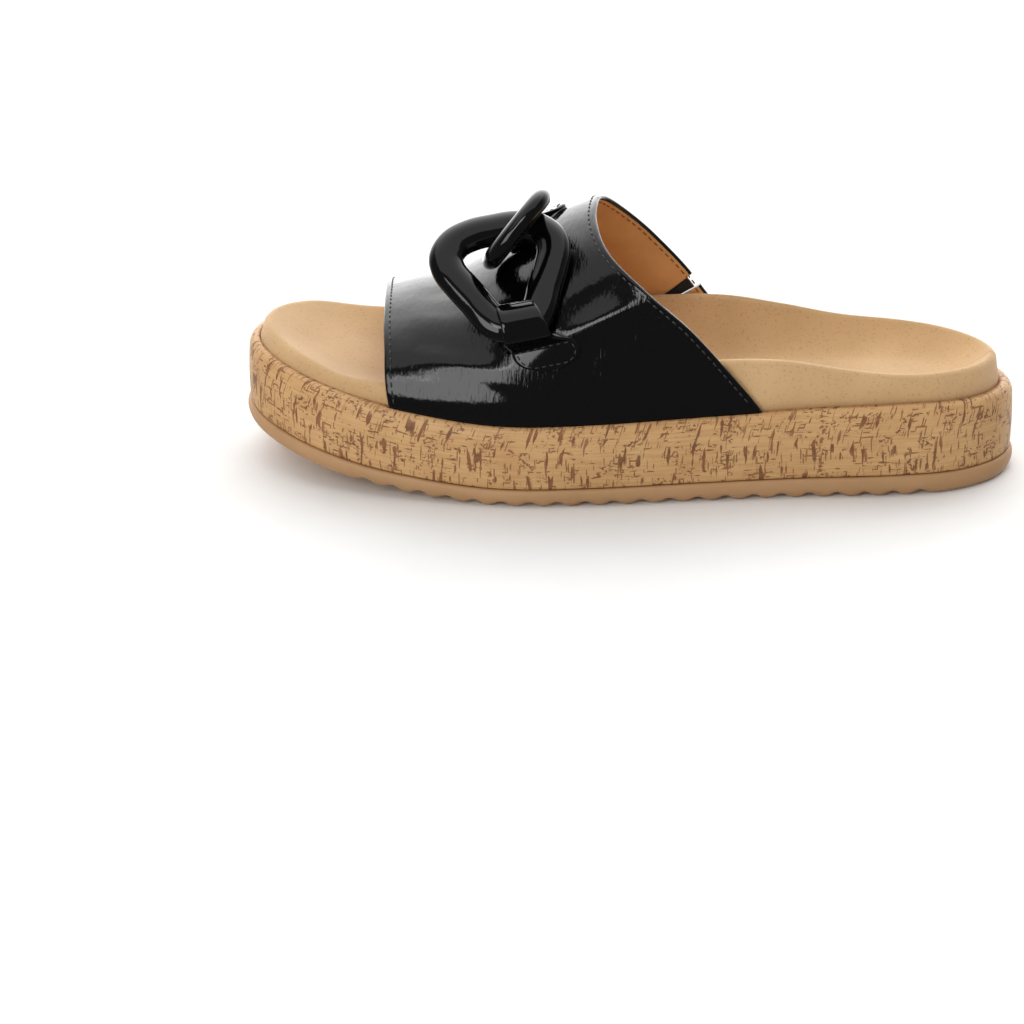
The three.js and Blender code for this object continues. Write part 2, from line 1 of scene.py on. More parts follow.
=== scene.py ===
# Looks of a left women's slide sandal: ripple rubber outsole, cork-print platform, nubuck
# footbed, one wide patent strap with stitched edges, an elastic gore, and two puffed links.
# Lengths are millimetres until a mesh is made, in the maker's frame: x from the toe tip to the
# heel, y to the medial side and z up from the floor.
import math

import bmesh
import bpy
import numpy as np
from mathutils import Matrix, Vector


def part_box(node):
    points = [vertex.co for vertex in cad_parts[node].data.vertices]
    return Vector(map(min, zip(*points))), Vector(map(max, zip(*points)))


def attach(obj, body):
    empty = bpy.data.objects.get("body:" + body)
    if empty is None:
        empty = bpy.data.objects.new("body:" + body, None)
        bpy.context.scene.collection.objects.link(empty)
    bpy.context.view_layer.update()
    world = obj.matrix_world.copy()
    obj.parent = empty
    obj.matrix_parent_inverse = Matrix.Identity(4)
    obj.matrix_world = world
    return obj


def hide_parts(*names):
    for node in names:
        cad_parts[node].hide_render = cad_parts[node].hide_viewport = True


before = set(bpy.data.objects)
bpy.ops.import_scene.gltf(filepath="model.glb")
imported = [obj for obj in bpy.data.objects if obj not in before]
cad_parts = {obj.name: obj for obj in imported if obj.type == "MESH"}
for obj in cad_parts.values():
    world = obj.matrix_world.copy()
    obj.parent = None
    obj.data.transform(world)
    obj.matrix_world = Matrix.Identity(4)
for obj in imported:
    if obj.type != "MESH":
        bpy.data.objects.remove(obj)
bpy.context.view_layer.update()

MM = 0.001

# Sole
SOLE_LENGTH = 272.0
BALL_WIDTH = 99.0
TOE_SPRING = 13.5
SPRING_SHARE = 0.35
SPRING_POWER = 1.8
OUTSOLE_HEIGHT = 7.7
PLATFORM_HEIGHT = 25.4
PIECE_GAP = 0.3
SOLE_BULGE = 0.9
PLATFORM_EDGE = 5.6
PLATFORM_ROUND = 4.6
PLATFORM_FOOT = 2.0
PLATFORM_SWELL = 0.25
LIP_INSET = 0.55
SEAT_DEPTH = 3.0

# The outsole's side, from below: mm out from the outline and share of the rubber's height.
OUTSOLE_SIDE = [
    (-8.0, 0.0), (-3.4, 0.0), (-2.1, 0.01), (-1.1, 0.06), (-0.3, 0.16), (0.3, 0.3), (0.7, 0.46),
    (0.9, 0.6), (0.9, 0.74), (0.75, 0.86), (0.45, 0.95), (0.0, 1.0), (-1.2, 1.0),
]

# The platform's foot, from below: mm out from the outline and up from the rubber.
PLATFORM_TURN = [(-4.0, 0.0), (-0.9, 0.0), (-0.35, 0.15), (-0.1, 0.9), (0.0, PLATFORM_FOOT)]

# Tread waves
TREAD_PITCH = 9.75
TREAD_DEPTH = 1.7
TREAD_START = 45.0
TREAD_END = 237.0
TREAD_SHARPNESS = 1.25
TREAD_RUN_OUT = 1.5
TREAD_FADE = 1.6

# Footbed
RIM_HEIGHT = 21.0
RIM_RADIUS = 2.6
RIM_LEAN = 1.1
RIM_SQUASH = 0.9
BED_HEIGHT = 1.6
BOWL_SHARE = 0.62
BOWL_POWER = 2.2
SPINE_START = 0.17
SPINE_END = 0.85

# Strap
STRAP_WALL = 2.0
STRAP_TUCK = 2.4
STRAP_RISE = 90.0
STRAP_REACH = 45.0
ARCH_POWER = 2.1

# Elastic gore
GORE_THICKNESS = 1.0
GORE_OPENING = 5.2
GORE_TIP = 2.2
GORE_LENGTH = 20.0
GORE_SETBACK = 2.5
GORE_AROUND = 0.9
GORE_ANGLE = 0.65
GORE_RIB = 0.16
GORE_RIB_PITCH = 1.1

# Tabs
TAB_WALL = 1.3
TAB_SEAM = 1.6
TAB_FOLD = 12.5
TAB_LAID = 0.45
TAB_FLARE = 5.0
TAB_TAIL = 0.42
TAB_LENGTH = 17.0
TAB_EDGE = 0.35
COVER_PLY = 0.95
COVER_SOFT = 0.55

# Degrees round the link's bar at which the outer ply starts, and how far it goes.
COVER_FROM = 10
COVER_TURN = 185

# Thread: each stitch's pitch, length and thickness, and how far the rows lie from an edge.
EDGE_STITCH = (2.9, 2.2, 0.62)
TAB_STITCH = (2.5, 1.9, 0.55)
STITCH_INSET = 2.4
TAB_STITCH_INSET = 1.7

# The cork print slants from this height up the side.
LIP_START = 18.0
LIP_SLANT = 0.32

# Plan of the sole: share of the length, then lateral and medial half widths as shares of the
# ball width.
PLAN = [
    (0.0, -0.018, 0.018), (0.016, 0.15, 0.215), (0.068, 0.312, 0.392), (0.147, 0.432, 0.456),
    (0.25, 0.498, 0.474), (0.36, 0.535, 0.466), (0.47, 0.506, 0.434), (0.588, 0.448, 0.394),
    (0.72, 0.388, 0.368), (0.85, 0.345, 0.35), (0.927, 0.282, 0.29), (0.98, 0.157, 0.167),
    (1.0, -0.005, 0.005),
]

# Share of the length, then rubber height, cork height and lip width as shares.
SIDES = [
    (0.0, 0.86, 0.925, 0.72), (0.17, 0.85, 0.913, 0.96), (0.39, 0.83, 0.89, 1.0),
    (0.65, 0.93, 0.945, 1.0), (0.86, 1.0, 1.0, 1.0), (1.0, 1.0, 0.96, 0.9),
]

# Share of the length, then lateral and medial rim as shares of RIM_HEIGHT.
RIM = [
    (0.0, 0.31, 0.31), (0.08, 0.25, 0.29), (0.13, 0.22, 0.3), (0.19, 0.32, 0.36),
    (0.3, 0.44, 0.48), (0.42, 0.6, 0.72), (0.53, 0.8, 0.93), (0.62, 0.885, 0.97),
    (0.7, 0.81, 0.82), (0.78, 0.59, 0.62), (0.86, 0.44, 0.54), (0.93, 0.45, 0.5),
    (1.0, 0.48, 0.48),
]

# Share of the length, then the strap's crest height and its place across.
INSTEP = [
    (0.16, 0.265, 0.02), (0.19, 0.285, 0.03), (0.22, 0.32, 0.04), (0.27, 0.374, 0.05),
    (0.33, 0.487, 0.07), (0.37, 0.566, 0.08), (0.41, 0.637, 0.08), (0.46, 0.7, 0.08),
    (0.55, 0.815, 0.07), (0.7, 1.0, 0.04),
]

# Place round the strap from lateral 0 to medial 1, then its front and back edge.
EDGES = [
    (0.0, 0.1985, 0.675), (0.05, 0.195, 0.635), (0.12, 0.192, 0.585), (0.2, 0.19, 0.5285),
    (0.3, 0.186, 0.479), (0.4, 0.183, 0.4595), (0.5, 0.18, 0.4585), (0.6, 0.177, 0.466),
    (0.7, 0.1755, 0.488), (0.8, 0.175, 0.5275), (0.88, 0.1755, 0.5715),
    (0.95, 0.176, 0.6135), (1.0, 0.1765, 0.6545),
]

# Share of the way down a tab, then its front and back edge from the middle of the fold.
TAB_EDGES = [
    (0.0, -6.2, 6.5), (0.36, -3.8, 15.6), (0.62, -2.6, 19.4), (0.84, 0.4, 18.4),
    (1.0, 6.0, 12.5),
]


def track(rows, column):
    """A smooth curve through one column of a table, read at its first column."""
    keys = np.array([row[0] for row in rows])
    values = np.array([row[column] for row in rows])
    last = len(rows) - 1
    before = np.maximum(np.arange(len(rows)) - 1, 0)
    after = np.minimum(np.arange(len(rows)) + 1, last)
    slopes = (values[after] - values[before]) / (keys[after] - keys[before])

    def read(share):
        s = np.clip(share, keys[0], keys[-1])
        i = np.clip(np.searchsorted(keys, s, side="left") - 1, 0, last - 1)
        width = keys[i + 1] - keys[i]
        t = (s - keys[i]) / width
        blend = t * t * (3 - 2 * t)
        level = values[i] * (1 - blend) + values[i + 1] * blend
        lead = slopes[i] * t * (1 - t) ** 2 - slopes[i + 1] * t * t * (1 - t)
        return level + lead * width

    return read


rubber_share, cork_share, lip_share = (track(SIDES, c) for c in (1, 2, 3))
rim_lateral, rim_medial = (track(RIM, c) for c in (1, 2))
crest_share, crest_across = (track(INSTEP, c) for c in (1, 2))
edge_front, edge_back = (track(EDGES, c) for c in (1, 2))
tab_front, tab_back = (track(TAB_EDGES, c) for c in (1, 2))


def ground_at(x):
    """Height of the sole's underside, which springs up at the toe."""
    run = SOLE_LENGTH * SPRING_SHARE
    return TOE_SPRING * np.maximum(0, (run - x) / run) ** SPRING_POWER


def rubber_top(x):
    """Height where the rubber ends at the side."""
    return ground_at(x) + OUTSOLE_HEIGHT * rubber_share(x / SOLE_LENGTH)


def seam_at(x):
    """Height of the seam between the platform and the footbed."""
    return rubber_top(x) + PLATFORM_HEIGHT * cork_share(x / SOLE_LENGTH)


def closed_curve(points, steps):
    """A centripetal Catmull-Rom loop through points, with steps samples a span."""
    points = np.asarray(points, float)
    n = len(points)
    t = np.arange(steps)[:, None] / steps
    found = []
    for i in range(n):
        p0, p1, p2, p3 = (points[(i + k - 1) % n] for k in range(4))
        d0, d1, d2 = (
            max(np.linalg.norm(b - a) ** 0.5, 1e-4) for a, b in ((p0, p1), (p1, p2), (p2, p3))
        )
        m1 = ((p1 - p0) / d0 - (p2 - p0) / (d0 + d1) + (p2 - p1) / d1) * d1
        m2 = ((p2 - p1) / d1 - (p3 - p1) / (d1 + d2) + (p3 - p2) / d2) * d1
        c2 = 3 * (p2 - p1) - 2 * m1 - m2
        c3 = 2 * (p1 - p2) + m1 + m2
        found.append(p1 + m1 * t + c2 * t**2 + c3 * t**3)
    return np.concatenate(found)


def sole_ring(stations):
    """The sole's outline, toe tip, lateral side, heel, medial side; both sides share their x."""
    rows = np.array(PLAN)
    tip = [[0, (rows[0, 2] - rows[0, 1]) / 2]]
    back = [[1, (rows[-1, 2] - rows[-1, 1]) / 2]]
    lateral = np.c_[rows[1:-1, 0], -rows[1:-1, 1]]
    medial = np.c_[rows[1:-1, 0], rows[1:-1, 2]][::-1]
    loop = np.concatenate([tip, lateral, back, medial]) * [SOLE_LENGTH, BALL_WIDTH]
    fine = closed_curve(loop, 60)
    fine = np.roll(fine, -int(np.argmin(fine[:, 0])), axis=0)
    far = int(np.argmax(fine[:, 0]))
    low, high = fine[0, 0], fine[far, 0]
    lateral_side = fine[: far + 1]
    medial_side = np.concatenate([fine[far:], fine[:1]])[::-1]
    k = np.arange(2 * stations)
    x = low + (high - low) * (1 - np.cos(np.pi * k / stations)) / 2
    lateral_y = np.interp(x, lateral_side[:, 0], lateral_side[:, 1])
    medial_y = np.interp(x, medial_side[:, 0], medial_side[:, 1])
    return np.c_[x, np.where(k <= stations, lateral_y, medial_y)]


def ways_along(ring):
    """Unit directions along a closed ring of points."""
    way = np.roll(ring, -1, axis=0) - np.roll(ring, 1, axis=0)
    return way / np.linalg.norm(way, axis=1)[:, None]


def evenly(ring, count):
    """A closed ring of points, spaced evenly again."""
    steps = np.linalg.norm(np.roll(ring, -1, axis=0) - ring, axis=1)
    far = np.concatenate([[0], np.cumsum(steps)])
    want = np.linspace(0, far[-1], count, endpoint=False)
    loop = np.vstack([ring, ring[:1]])
    return np.stack([np.interp(want, far, column) for column in loop.T], -1)


def offset(ring, distance):
    """The ring moved outwards by a distance."""
    way = ways_along(ring)
    out = np.c_[way[:, 1], -way[:, 0]]
    return ring + out * (np.ones(len(ring)) * distance)[:, None]


def lifted(ring, height):
    """A flat ring set at a height."""
    return np.c_[ring, np.ones(len(ring)) * height]


def inner_ring(ring):
    """The footbed's outline, inside the platform's lip."""
    return offset(ring, -PLATFORM_EDGE * lip_share(ring[:, 0] / SOLE_LENGTH))


STATIONS = 300
SOLE = sole_ring(STATIONS)
FOOTBED = inner_ring(SOLE)
IS_MEDIAL = np.arange(2 * STATIONS) > STATIONS


def side_of(ring, medial):
    """How far one side of a ring lies across, read at x."""
    half = len(ring) // 2
    k = np.arange(len(ring))
    side = ring[(k % half == 0) | ((k > half) == medial)]
    side = side[np.argsort(side[:, 0], kind="stable")]
    return lambda x: np.interp(x, side[:, 0], side[:, 1])


foot_lateral = side_of(FOOTBED, False)
foot_medial = side_of(FOOTBED, True)

# How far the maker's origin lies from the origin of the whole part's frame.
outsole_low, outsole_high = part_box("outsole")
outsole_ring = offset(SOLE, SOLE_BULGE)
SHIFT = np.array([
    outsole_low.x / MM - outsole_ring[:, 0].min(),
    outsole_low.y / MM - outsole_ring[:, 1].min(),
    0.0,
])


def make(name, points, faces, smooth=True):
    """A mesh object from points in the maker's frame."""
    points = (np.asarray(points, float).reshape(-1, 3) + SHIFT) * MM
    mesh = bpy.data.meshes.new(name)
    mesh.from_pydata(points.tolist(), [], [list(map(int, f)) for f in faces])
    mesh.validate()
    mesh.update()
    if smooth:
        mesh.shade_smooth()
    piece = bpy.data.objects.new(name, mesh)
    bpy.context.scene.collection.objects.link(piece)
    return piece


def quads(rows, columns, around=False, along=False, base=0):
    """Faces of a grid of rows by columns; around joins its last column to the first."""
    j, i = np.meshgrid(
        np.arange(rows if along else rows - 1),
        np.arange(columns if around else columns - 1),
        indexing="ij",
    )
    a = j * columns + i
    b = j * columns + (i + 1) % columns
    c = ((j + 1) % rows) * columns + (i + 1) % columns
    d = ((j + 1) % rows) * columns + i
    return (np.stack([a, b, c, d], -1).reshape(-1, 4) + base).tolist()


def caps(n, base, up):
    """Strips of quads across a ring, from station to station."""
    half = n // 2
    found = [[base, base + 1, base + n - 1], [base + half - 1, base + half, base + half + 1]]
    for k in range(1, half - 1):
        found.append([base + k, base + k + 1, base + n - k - 1, base + n - k])
    return found if up else [f[::-1] for f in found]


def stack(name, rings):
    """A closed body through rings that run anticlockwise from above."""
    n = len(rings[0])
    faces = quads(len(rings), n, around=True)
    faces += caps(n, 0, False) + caps(n, (len(rings) - 1) * n, True)
    return make(name, np.concatenate(rings), faces)


def strap_point(x, around):
    """Points on the strap's inner surface."""
    angle = np.pi * around
    middle = crest_across(x / SOLE_LENGTH) * BALL_WIDTH
    seam = np.where(around < 0.5, foot_lateral(x) - PIECE_GAP, foot_medial(x) + PIECE_GAP)
    reach = np.abs(np.cos(angle)) ** (2 / ARCH_POWER)
    rise = np.maximum(np.sin(angle), 0) ** (2 / ARCH_POWER)
    height = STRAP_RISE * crest_share(x / SOLE_LENGTH) * rise
    return np.stack([x, middle + (seam - middle) * reach, seam_at(x) + height], -1)


def strap_normal(x, around):
    """Directions square to the strap, level where it meets the platform."""
    step = 0.004
    near = np.clip(around, step, 1 - step)
    across = strap_point(x, near + step) - strap_point(x, near - step)
    along = strap_point(x + 0.5, near) - strap_point(x - 0.5, near)
    normal = np.cross(along, across)
    normal /= np.linalg.norm(normal, axis=-1)[..., None]
    end = (around <= 0) | (around >= 1)
    sideways = np.stack([around * 0, np.where(around <= 0, -1.0, 1.0), around * 0], -1)
    return np.where(end[..., None], sideways, normal)


# Creases of the worn-in patent: each one runs from one place to another, given as mm from the
# toe tip and a place round the strap, with its half width and its height above the surface.
CREASES = [
    ((62, 0.2), (101, 0.09), 5.0, 0.55),
    ((60, 0.235), (95, 0.15), 4.0, -0.45),
    ((66, 0.13), (104, 0.055), 4.0, -0.4),
    ((58, 0.33), (84, 0.27), 5.0, 0.4),
    ((60, 0.42), (82, 0.4), 5.0, -0.35),
    ((112, 0.155), (143, 0.19), 3.4, 0.75),
    ((116, 0.12), (150, 0.15), 4.4, -0.5),
    ((112, 0.2), (138, 0.25), 4.6, -0.45),
    ((122, 0.3), (126, 0.5), 5.0, 0.35),
    ((110, 0.05), (158, 0.085), 5.0, 0.4),
    ((96, 0.32), (100, 0.6), 6.0, -0.35),
    ((70, 0.62), (112, 0.74), 5.0, 0.45),
    ((66, 0.72), (108, 0.84), 4.5, -0.4),
    ((124, 0.7), (150, 0.84), 4.0, 0.5),
    ((118, 0.8), (158, 0.92), 4.6, -0.4),
]


def crease_lift(x, around):
    """How far the creases raise the strap's surface."""
    here = strap_point(x, around)
    lift = np.zeros(np.shape(x))
    for start, end, half_width, height in CREASES:
        a = strap_point(np.float64(start[0]), np.float64(start[1]))
        b = strap_point(np.float64(end[0]), np.float64(end[1]))
        way = b - a
        t = np.clip(((here - a) @ way) / (way @ way), 0, 1)
        away = np.linalg.norm(here - (a + t[..., None] * way), axis=-1)
        fade = np.sin(np.pi * np.clip(t, 0.02, 0.98)) ** 0.6
        lift = lift + height * fade * np.exp(-((away / half_width) ** 2))
    return lift


def strap_surface(x, around, out, creased=True):
    """Strap points pushed out square to the inner surface, with the creases."""
    x, around, out = np.broadcast_arrays(x, around, np.asarray(out, float))
    lift = out + crease_lift(x, around) if creased else out
    return strap_point(x, around) + strap_normal(x, around) * lift[..., None]


def tread_wave(x):
    """Height of the outsole's underside above its unworn face."""
    count = round((TREAD_END - TREAD_START) / TREAD_PITCH)
    first = TREAD_START - TREAD_PITCH / 2
    last = TREAD_START + (count + 0.5) * TREAD_PITCH
    phase = (x - TREAD_START) / TREAD_PITCH
    valley = (0.5 + 0.5 * np.cos(2 * np.pi * phase)) ** TREAD_SHARPNESS
    inside = np.clip((x - first) / TREAD_RUN_OUT, 0, 1) * np.clip((last - x) / TREAD_RUN_OUT, 0, 1)
    return TREAD_DEPTH * valley * inside


def outsole():
    """Ripple rubber sole: waves below, and a side that swells a little past the platform."""
    x = SOLE[:, 0]
    rings = []
    for out, up in OUTSOLE_SIDE:
        low = ground_at(x) + tread_wave(x) * max(0.0, 1 - up * TREAD_FADE)
        rings.append(lifted(offset(SOLE, out), low + (rubber_top(x) - low) * up))
    return stack("outsole_rubber", rings)


def in_strap(x):
    """1 between the strap's front and back at the seam, and 0 well outside."""
    front, back = EDGES[0][1] * SOLE_LENGTH, EDGES[0][2] * SOLE_LENGTH
    return np.clip((x - front + 2) / 2, 0, 1) * np.clip((back + 2 - x) / 2, 0, 1)


def cork_platform():
    """The platform: a turned-in foot, a side that swells a little, a round lip and a seat."""
    x = SOLE[:, 0]
    low = rubber_top(x) + PIECE_GAP
    top = seam_at(x)
    lip = (PLATFORM_EDGE - PIECE_GAP) * LIP_INSET
    seat = offset(FOOTBED, PIECE_GAP + in_strap(x) * (STRAP_WALL + PIECE_GAP))
    foot = low + PLATFORM_FOOT
    side = top - PLATFORM_ROUND
    rings = [lifted(offset(SOLE, out), low + up) for out, up in PLATFORM_TURN]
    for share in (0.2, 0.4, 0.6, 0.8):
        swell = PLATFORM_SWELL * math.sin(math.pi * share)
        rings.append(lifted(offset(SOLE, swell), foot + (side - foot) * share))
    for angle in np.linspace(0, math.pi / 2, 9):
        inset = offset(SOLE, -lip * (1 - math.cos(angle)))
        rings.append(lifted(inset, side + PLATFORM_ROUND * math.sin(angle)))
    rings.append(lifted(seat, top - 0.15))
    rings.append(lifted(seat, top - SEAT_DEPTH))
    return stack("cork_wrap", rings)


def rim_top(ring):
    """Height of the footbed's rim round a ring."""
    share = ring[:, 0] / SOLE_LENGTH
    height = np.where(IS_MEDIAL, rim_medial(share), rim_lateral(share))
    return seam_at(ring[:, 0]) + RIM_HEIGHT * height


def spine_of(ring):
    """For each point of a ring, its place on the footbed's middle line."""
    x = np.clip(ring[:, 0], SPINE_START * SOLE_LENGTH, SPINE_END * SOLE_LENGTH)
    return np.c_[x, (foot_lateral(x) + foot_medial(x)) / 2]


def footbed():
    """The contoured bed: its side, a rounded rim, and the dish with a soft toe ridge."""
    heights = rim_top(FOOTBED)
    crest = offset(FOOTBED, -RIM_LEAN - RIM_RADIUS)
    seam = seam_at(FOOTBED[:, 0])
    rings = [
        lifted(offset(FOOTBED, -PIECE_GAP), seam - SEAT_DEPTH + PIECE_GAP),
        lifted(offset(FOOTBED, -0.1), seam - 0.4),
        lifted(FOOTBED, seam + 0.5),
    ]
    rim = RIM_RADIUS * RIM_SQUASH
    wall = heights - rim - seam
    for share in (0.3, 0.65, 1.0):
        rings.append(lifted(offset(FOOTBED, -RIM_LEAN * share), seam + wall * share))
    for turn in (0.25, 0.5, 0.75):
        angle = turn * math.pi / 2
        inset = offset(FOOTBED, -RIM_LEAN - RIM_RADIUS * (1 - math.cos(angle)))
        rings.append(lifted(inset, heights - rim * (1 - math.sin(angle))))
    rings.append(lifted(crest, heights))
    spine = spine_of(crest)
    for inward in np.linspace(0, 0.97, 34)[1:]:
        ring = crest + (spine - crest) * inward
        fall = max(0.0, 1 - inward / BOWL_SHARE) ** BOWL_POWER
        bed = seam_at(ring[:, 0]) + BED_HEIGHT
        rings.append(lifted(ring, bed + (heights - bed) * fall))
    return stack("nubuck_footbed", rings)


STRAP_COLUMNS = 260
STRAP_ROWS = 150
EDGE_ARC = 6


def strap_body():
    """The strap's wall: inner face, rounded back edge, outer face, rounded front edge."""
    around = np.concatenate([[0.0], np.linspace(0, 1, STRAP_COLUMNS + 1), [1.0]])
    tuck = np.zeros(len(around))
    tuck[[0, -1]] = STRAP_TUCK
    radius = STRAP_WALL / 2
    front = edge_front(around) * SOLE_LENGTH + radius
    back = edge_back(around) * SOLE_LENGTH - radius
    steps = np.linspace(0, 1, STRAP_ROWS + 1)
    arc = np.linspace(-math.pi / 2, math.pi / 2, EDGE_ARC + 1)[1:-1]
    loop = [(s, 0.0, 0.0) for s in steps]
    loop += [(1.0, radius * math.cos(a), radius * (1 + math.sin(a))) for a in arc]
    loop += [(s, 0.0, STRAP_WALL) for s in steps[::-1]]
    loop += [(0.0, -radius * math.cos(a), radius * (1 - math.sin(a))) for a in arc]
    rows = []
    for share, past, out in loop:
        points = strap_surface(front + (back - front) * share + past, around, out)
        points[:, 2] -= tuck
        rows.append(points)
    columns = len(around)
    faces = quads(len(rows), columns, along=True)
    faces.append(list(range(0, len(rows) * columns, columns)))
    faces.append(list(range(columns - 1, len(rows) * columns, columns))[::-1])
    return recalculate(make("patent_strap", rows, faces))


def line_inside(strap):
    """Gives the strap's inner faces, which were made first, its second material."""
    for polygon in strap.data.polygons[: STRAP_ROWS * (STRAP_COLUMNS + 2)]:
        polygon.material_index = 1


def prism(name, corners, from_y, to_y):
    """A bar along y with corner points in the x-z plane."""
    n = len(corners)
    points = [(x, y, z) for y in (from_y, to_y) for x, z in corners]
    faces = [list(range(n))[::-1], list(range(n, 2 * n))]
    faces += [[i, (i + 1) % n, n + (i + 1) % n, n + i] for i in range(n)]
    return recalculate(make(name, points, faces, smooth=False))


def gore_corners(grow, start):
    """The slot's corners in the x-z plane, wider by grow, and the place across of its mouth."""
    back = edge_back(np.float64(GORE_AROUND)) * SOLE_LENGTH
    mouth = strap_point(back, np.float64(GORE_AROUND))
    way = np.array([-math.cos(GORE_ANGLE), -math.sin(GORE_ANGLE)])
    side = np.array([-way[1], way[0]])
    end = GORE_LENGTH + grow
    found = []
    for far, hand in ((start, 1), (start, -1), (end, -1), (end, 1)):
        width = GORE_OPENING + (GORE_TIP - GORE_OPENING) * far / GORE_LENGTH
        found.append(mouth[[0, 2]] + way * far + side * hand * (width / 2 + grow))
    return found, mouth[1]


def cut(piece, tool):
    """Cuts tool out of piece; the tool is then removed."""
    change = piece.modifiers.new("cut", "BOOLEAN")
    change.operation = "DIFFERENCE"
    change.solver = "EXACT"
    change.object = tool
    bpy.context.view_layer.update()
    result = bpy.data.meshes.new_from_object(
        piece.evaluated_get(bpy.context.evaluated_depsgraph_get())
    )
    piece.modifiers.clear()
    piece.data = result
    bpy.data.objects.remove(tool)
    return piece


def recalculate(piece):
    """Turns every face of a closed piece to the outside."""
    shape = bmesh.new()
    shape.from_mesh(piece.data)
    bmesh.ops.recalc_face_normals(shape, faces=shape.faces)
    shape.to_mesh(piece.data)
    shape.free()
    return piece


def elastic_gore():
    """Ribbed elastic in the slot at the medial back edge, seen between the slot's sides."""
    corners, _ = gore_corners(-PIECE_GAP, GORE_SETBACK)
    corners = np.array(corners)
    rows, columns = 40, 16
    low = (STRAP_WALL - GORE_THICKNESS) / 2 + GORE_RIB
    high = (STRAP_WALL + GORE_THICKNESS) / 2 - GORE_RIB
    inside, outside = [], []
    for t in np.linspace(0, 1, rows + 1):
        a = corners[0] + (corners[3] - corners[0]) * t
        b = corners[1] + (corners[2] - corners[1]) * t
        line = a + (b - a) * np.linspace(0, 1, columns + 1)[:, None]
        x = line[:, 0]
        around = medial_around(x, line[:, 1])
        rib = GORE_RIB * (0.5 + 0.5 * math.cos(2 * math.pi * t * GORE_LENGTH / GORE_RIB_PITCH))
        outside.append(strap_surface(x, around, high + rib))
        inside.append(strap_surface(x, around, low - rib))
    return sheet_body("ribbed_gore", np.array(inside), np.array(outside))


def medial_around(x, z):
    """Place round the strap's medial half where it passes a height z at x."""
    share = np.clip((z - seam_at(x)) / (STRAP_RISE * crest_share(x / SOLE_LENGTH)), 0, 1)
    return 1 - np.arcsin(share ** (ARCH_POWER / 2)) / np.pi


def sheet_body(name, inside, outside):
    """A closed body between two grids of one size."""
    rows, columns = inside.shape[:2]
    base = rows * columns
    faces = [f[::-1] for f in quads(rows, columns)] + quads(rows, columns, base=base)
    rim = list(range(columns))
    rim += [j * columns + columns - 1 for j in range(1, rows)]
    rim += [(rows - 1) * columns + i for i in range(columns - 2, -1, -1)]
    rim += [j * columns for j in range(rows - 2, 0, -1)]
    faces += [[a, b, base + b, base + a] for a, b in zip(rim, rim[1:] + rim[:1])]
    return recalculate(make(name, [inside, outside], faces))


# Middle lines of the two links: half width and length as shares, from the bar in the tab.
WIDE_LINK = [
    (0.0, 0.0), (0.26, 0.0), (0.45, 0.1), (0.64, 0.3), (0.84, 0.5), (0.97, 0.66), (0.97, 0.8),
    (0.76, 0.93), (0.4, 0.992), (0.0, 1.0),
]
OVAL_LINK = [
    (0.0, 0.0), (0.5, 0.02), (0.85, 0.1), (1.0, 0.3), (1.0, 0.5), (1.0, 0.7), (0.85, 0.9),
    (0.5, 0.98), (0.0, 1.0),
]

# length and width are the middle line's, breadth and depth the section's; share, around and
# lift place the bar over the strap; slope, tilt and turn are degrees; the tab is sewn on
# between the two places round the strap.
CHAIN = {
    "lateral": dict(
        hand=1, line=WIDE_LINK, length=37, width=38, breadth=12.2, depth=7.8, share=0.3707,
        around=0.199, lift=10.55, slope=-4.6, tilt=43, turn=18.3, tab_from=0.19, tab_to=0.105,
        tab_share=1.0,
    ),
    "medial": dict(
        hand=-1, line=OVAL_LINK, length=36, width=26, breadth=8.4, depth=6.8, share=0.3654,
        around=0.447, lift=7.65, slope=53, tilt=8.8, turn=-19.5, tab_from=0.44, tab_to=0.6,
        tab_share=0.72,
    ),
}


def link_place(link):
    """Where a link lies: its bar's middle, and the ways across, along and out of its face."""
    slope, tilt, turn = (math.radians(link[k]) for k in ("slope", "tilt", "turn"))
    level = np.array([math.cos(slope), 0, math.sin(slope)])
    up = np.array([-math.sin(slope), 0, math.cos(slope)])
    rise = up * math.sin(tilt) + np.array([0, link["hand"] * math.cos(tilt), 0])
    across = level * math.cos(turn) + rise * math.sin(turn)
    along = rise * math.cos(turn) - level * math.sin(turn)
    face = np.cross(across, along) * link["hand"]
    seat = (np.array([link["share"] * SOLE_LENGTH]), np.array([link["around"]]))
    origin = strap_surface(*seat, np.array([link["lift"]]), creased=0)[0]
    return origin, across * link["hand"], along, face


LINK_SEGMENTS = 160
LINK_SIDES = 36
LINK_SEAM = 0.45
LINK_SEAM_TURN = 0.16


def link_ring(name, link):
    """A puffed link: padded leather, fullest in the middle, with its seam inside the hole."""
    origin, across, along, face = link_place(link)
    there = link["line"]
    back = [(-w, l) for w, l in there[1:-1][::-1]]
    points = [(w * link["width"] / 2, l * link["length"], 0) for w, l in there + back]
    line = evenly(closed_curve(points, 60), LINK_SEGMENTS)
    way = ways_along(line)
    angle = 2 * np.pi * np.arange(LINK_SIDES) / LINK_SIDES
    seam = LINK_SEAM * np.exp(-(((angle - np.pi) / LINK_SEAM_TURN) ** 2))
    out = (link["breadth"] / 2 - seam) * np.cos(angle)
    high = link["depth"] / 2 * np.sin(angle)
    x = (line[:, :1] + way[:, 1:2] * out)[..., None]
    y = (line[:, 1:2] - way[:, :1] * out)[..., None]
    grid = origin + x * across + y * along + high[:, None] * face
    faces = quads(LINK_SEGMENTS, LINK_SIDES, around=True, along=True)
    return recalculate(make(name, grid, faces))


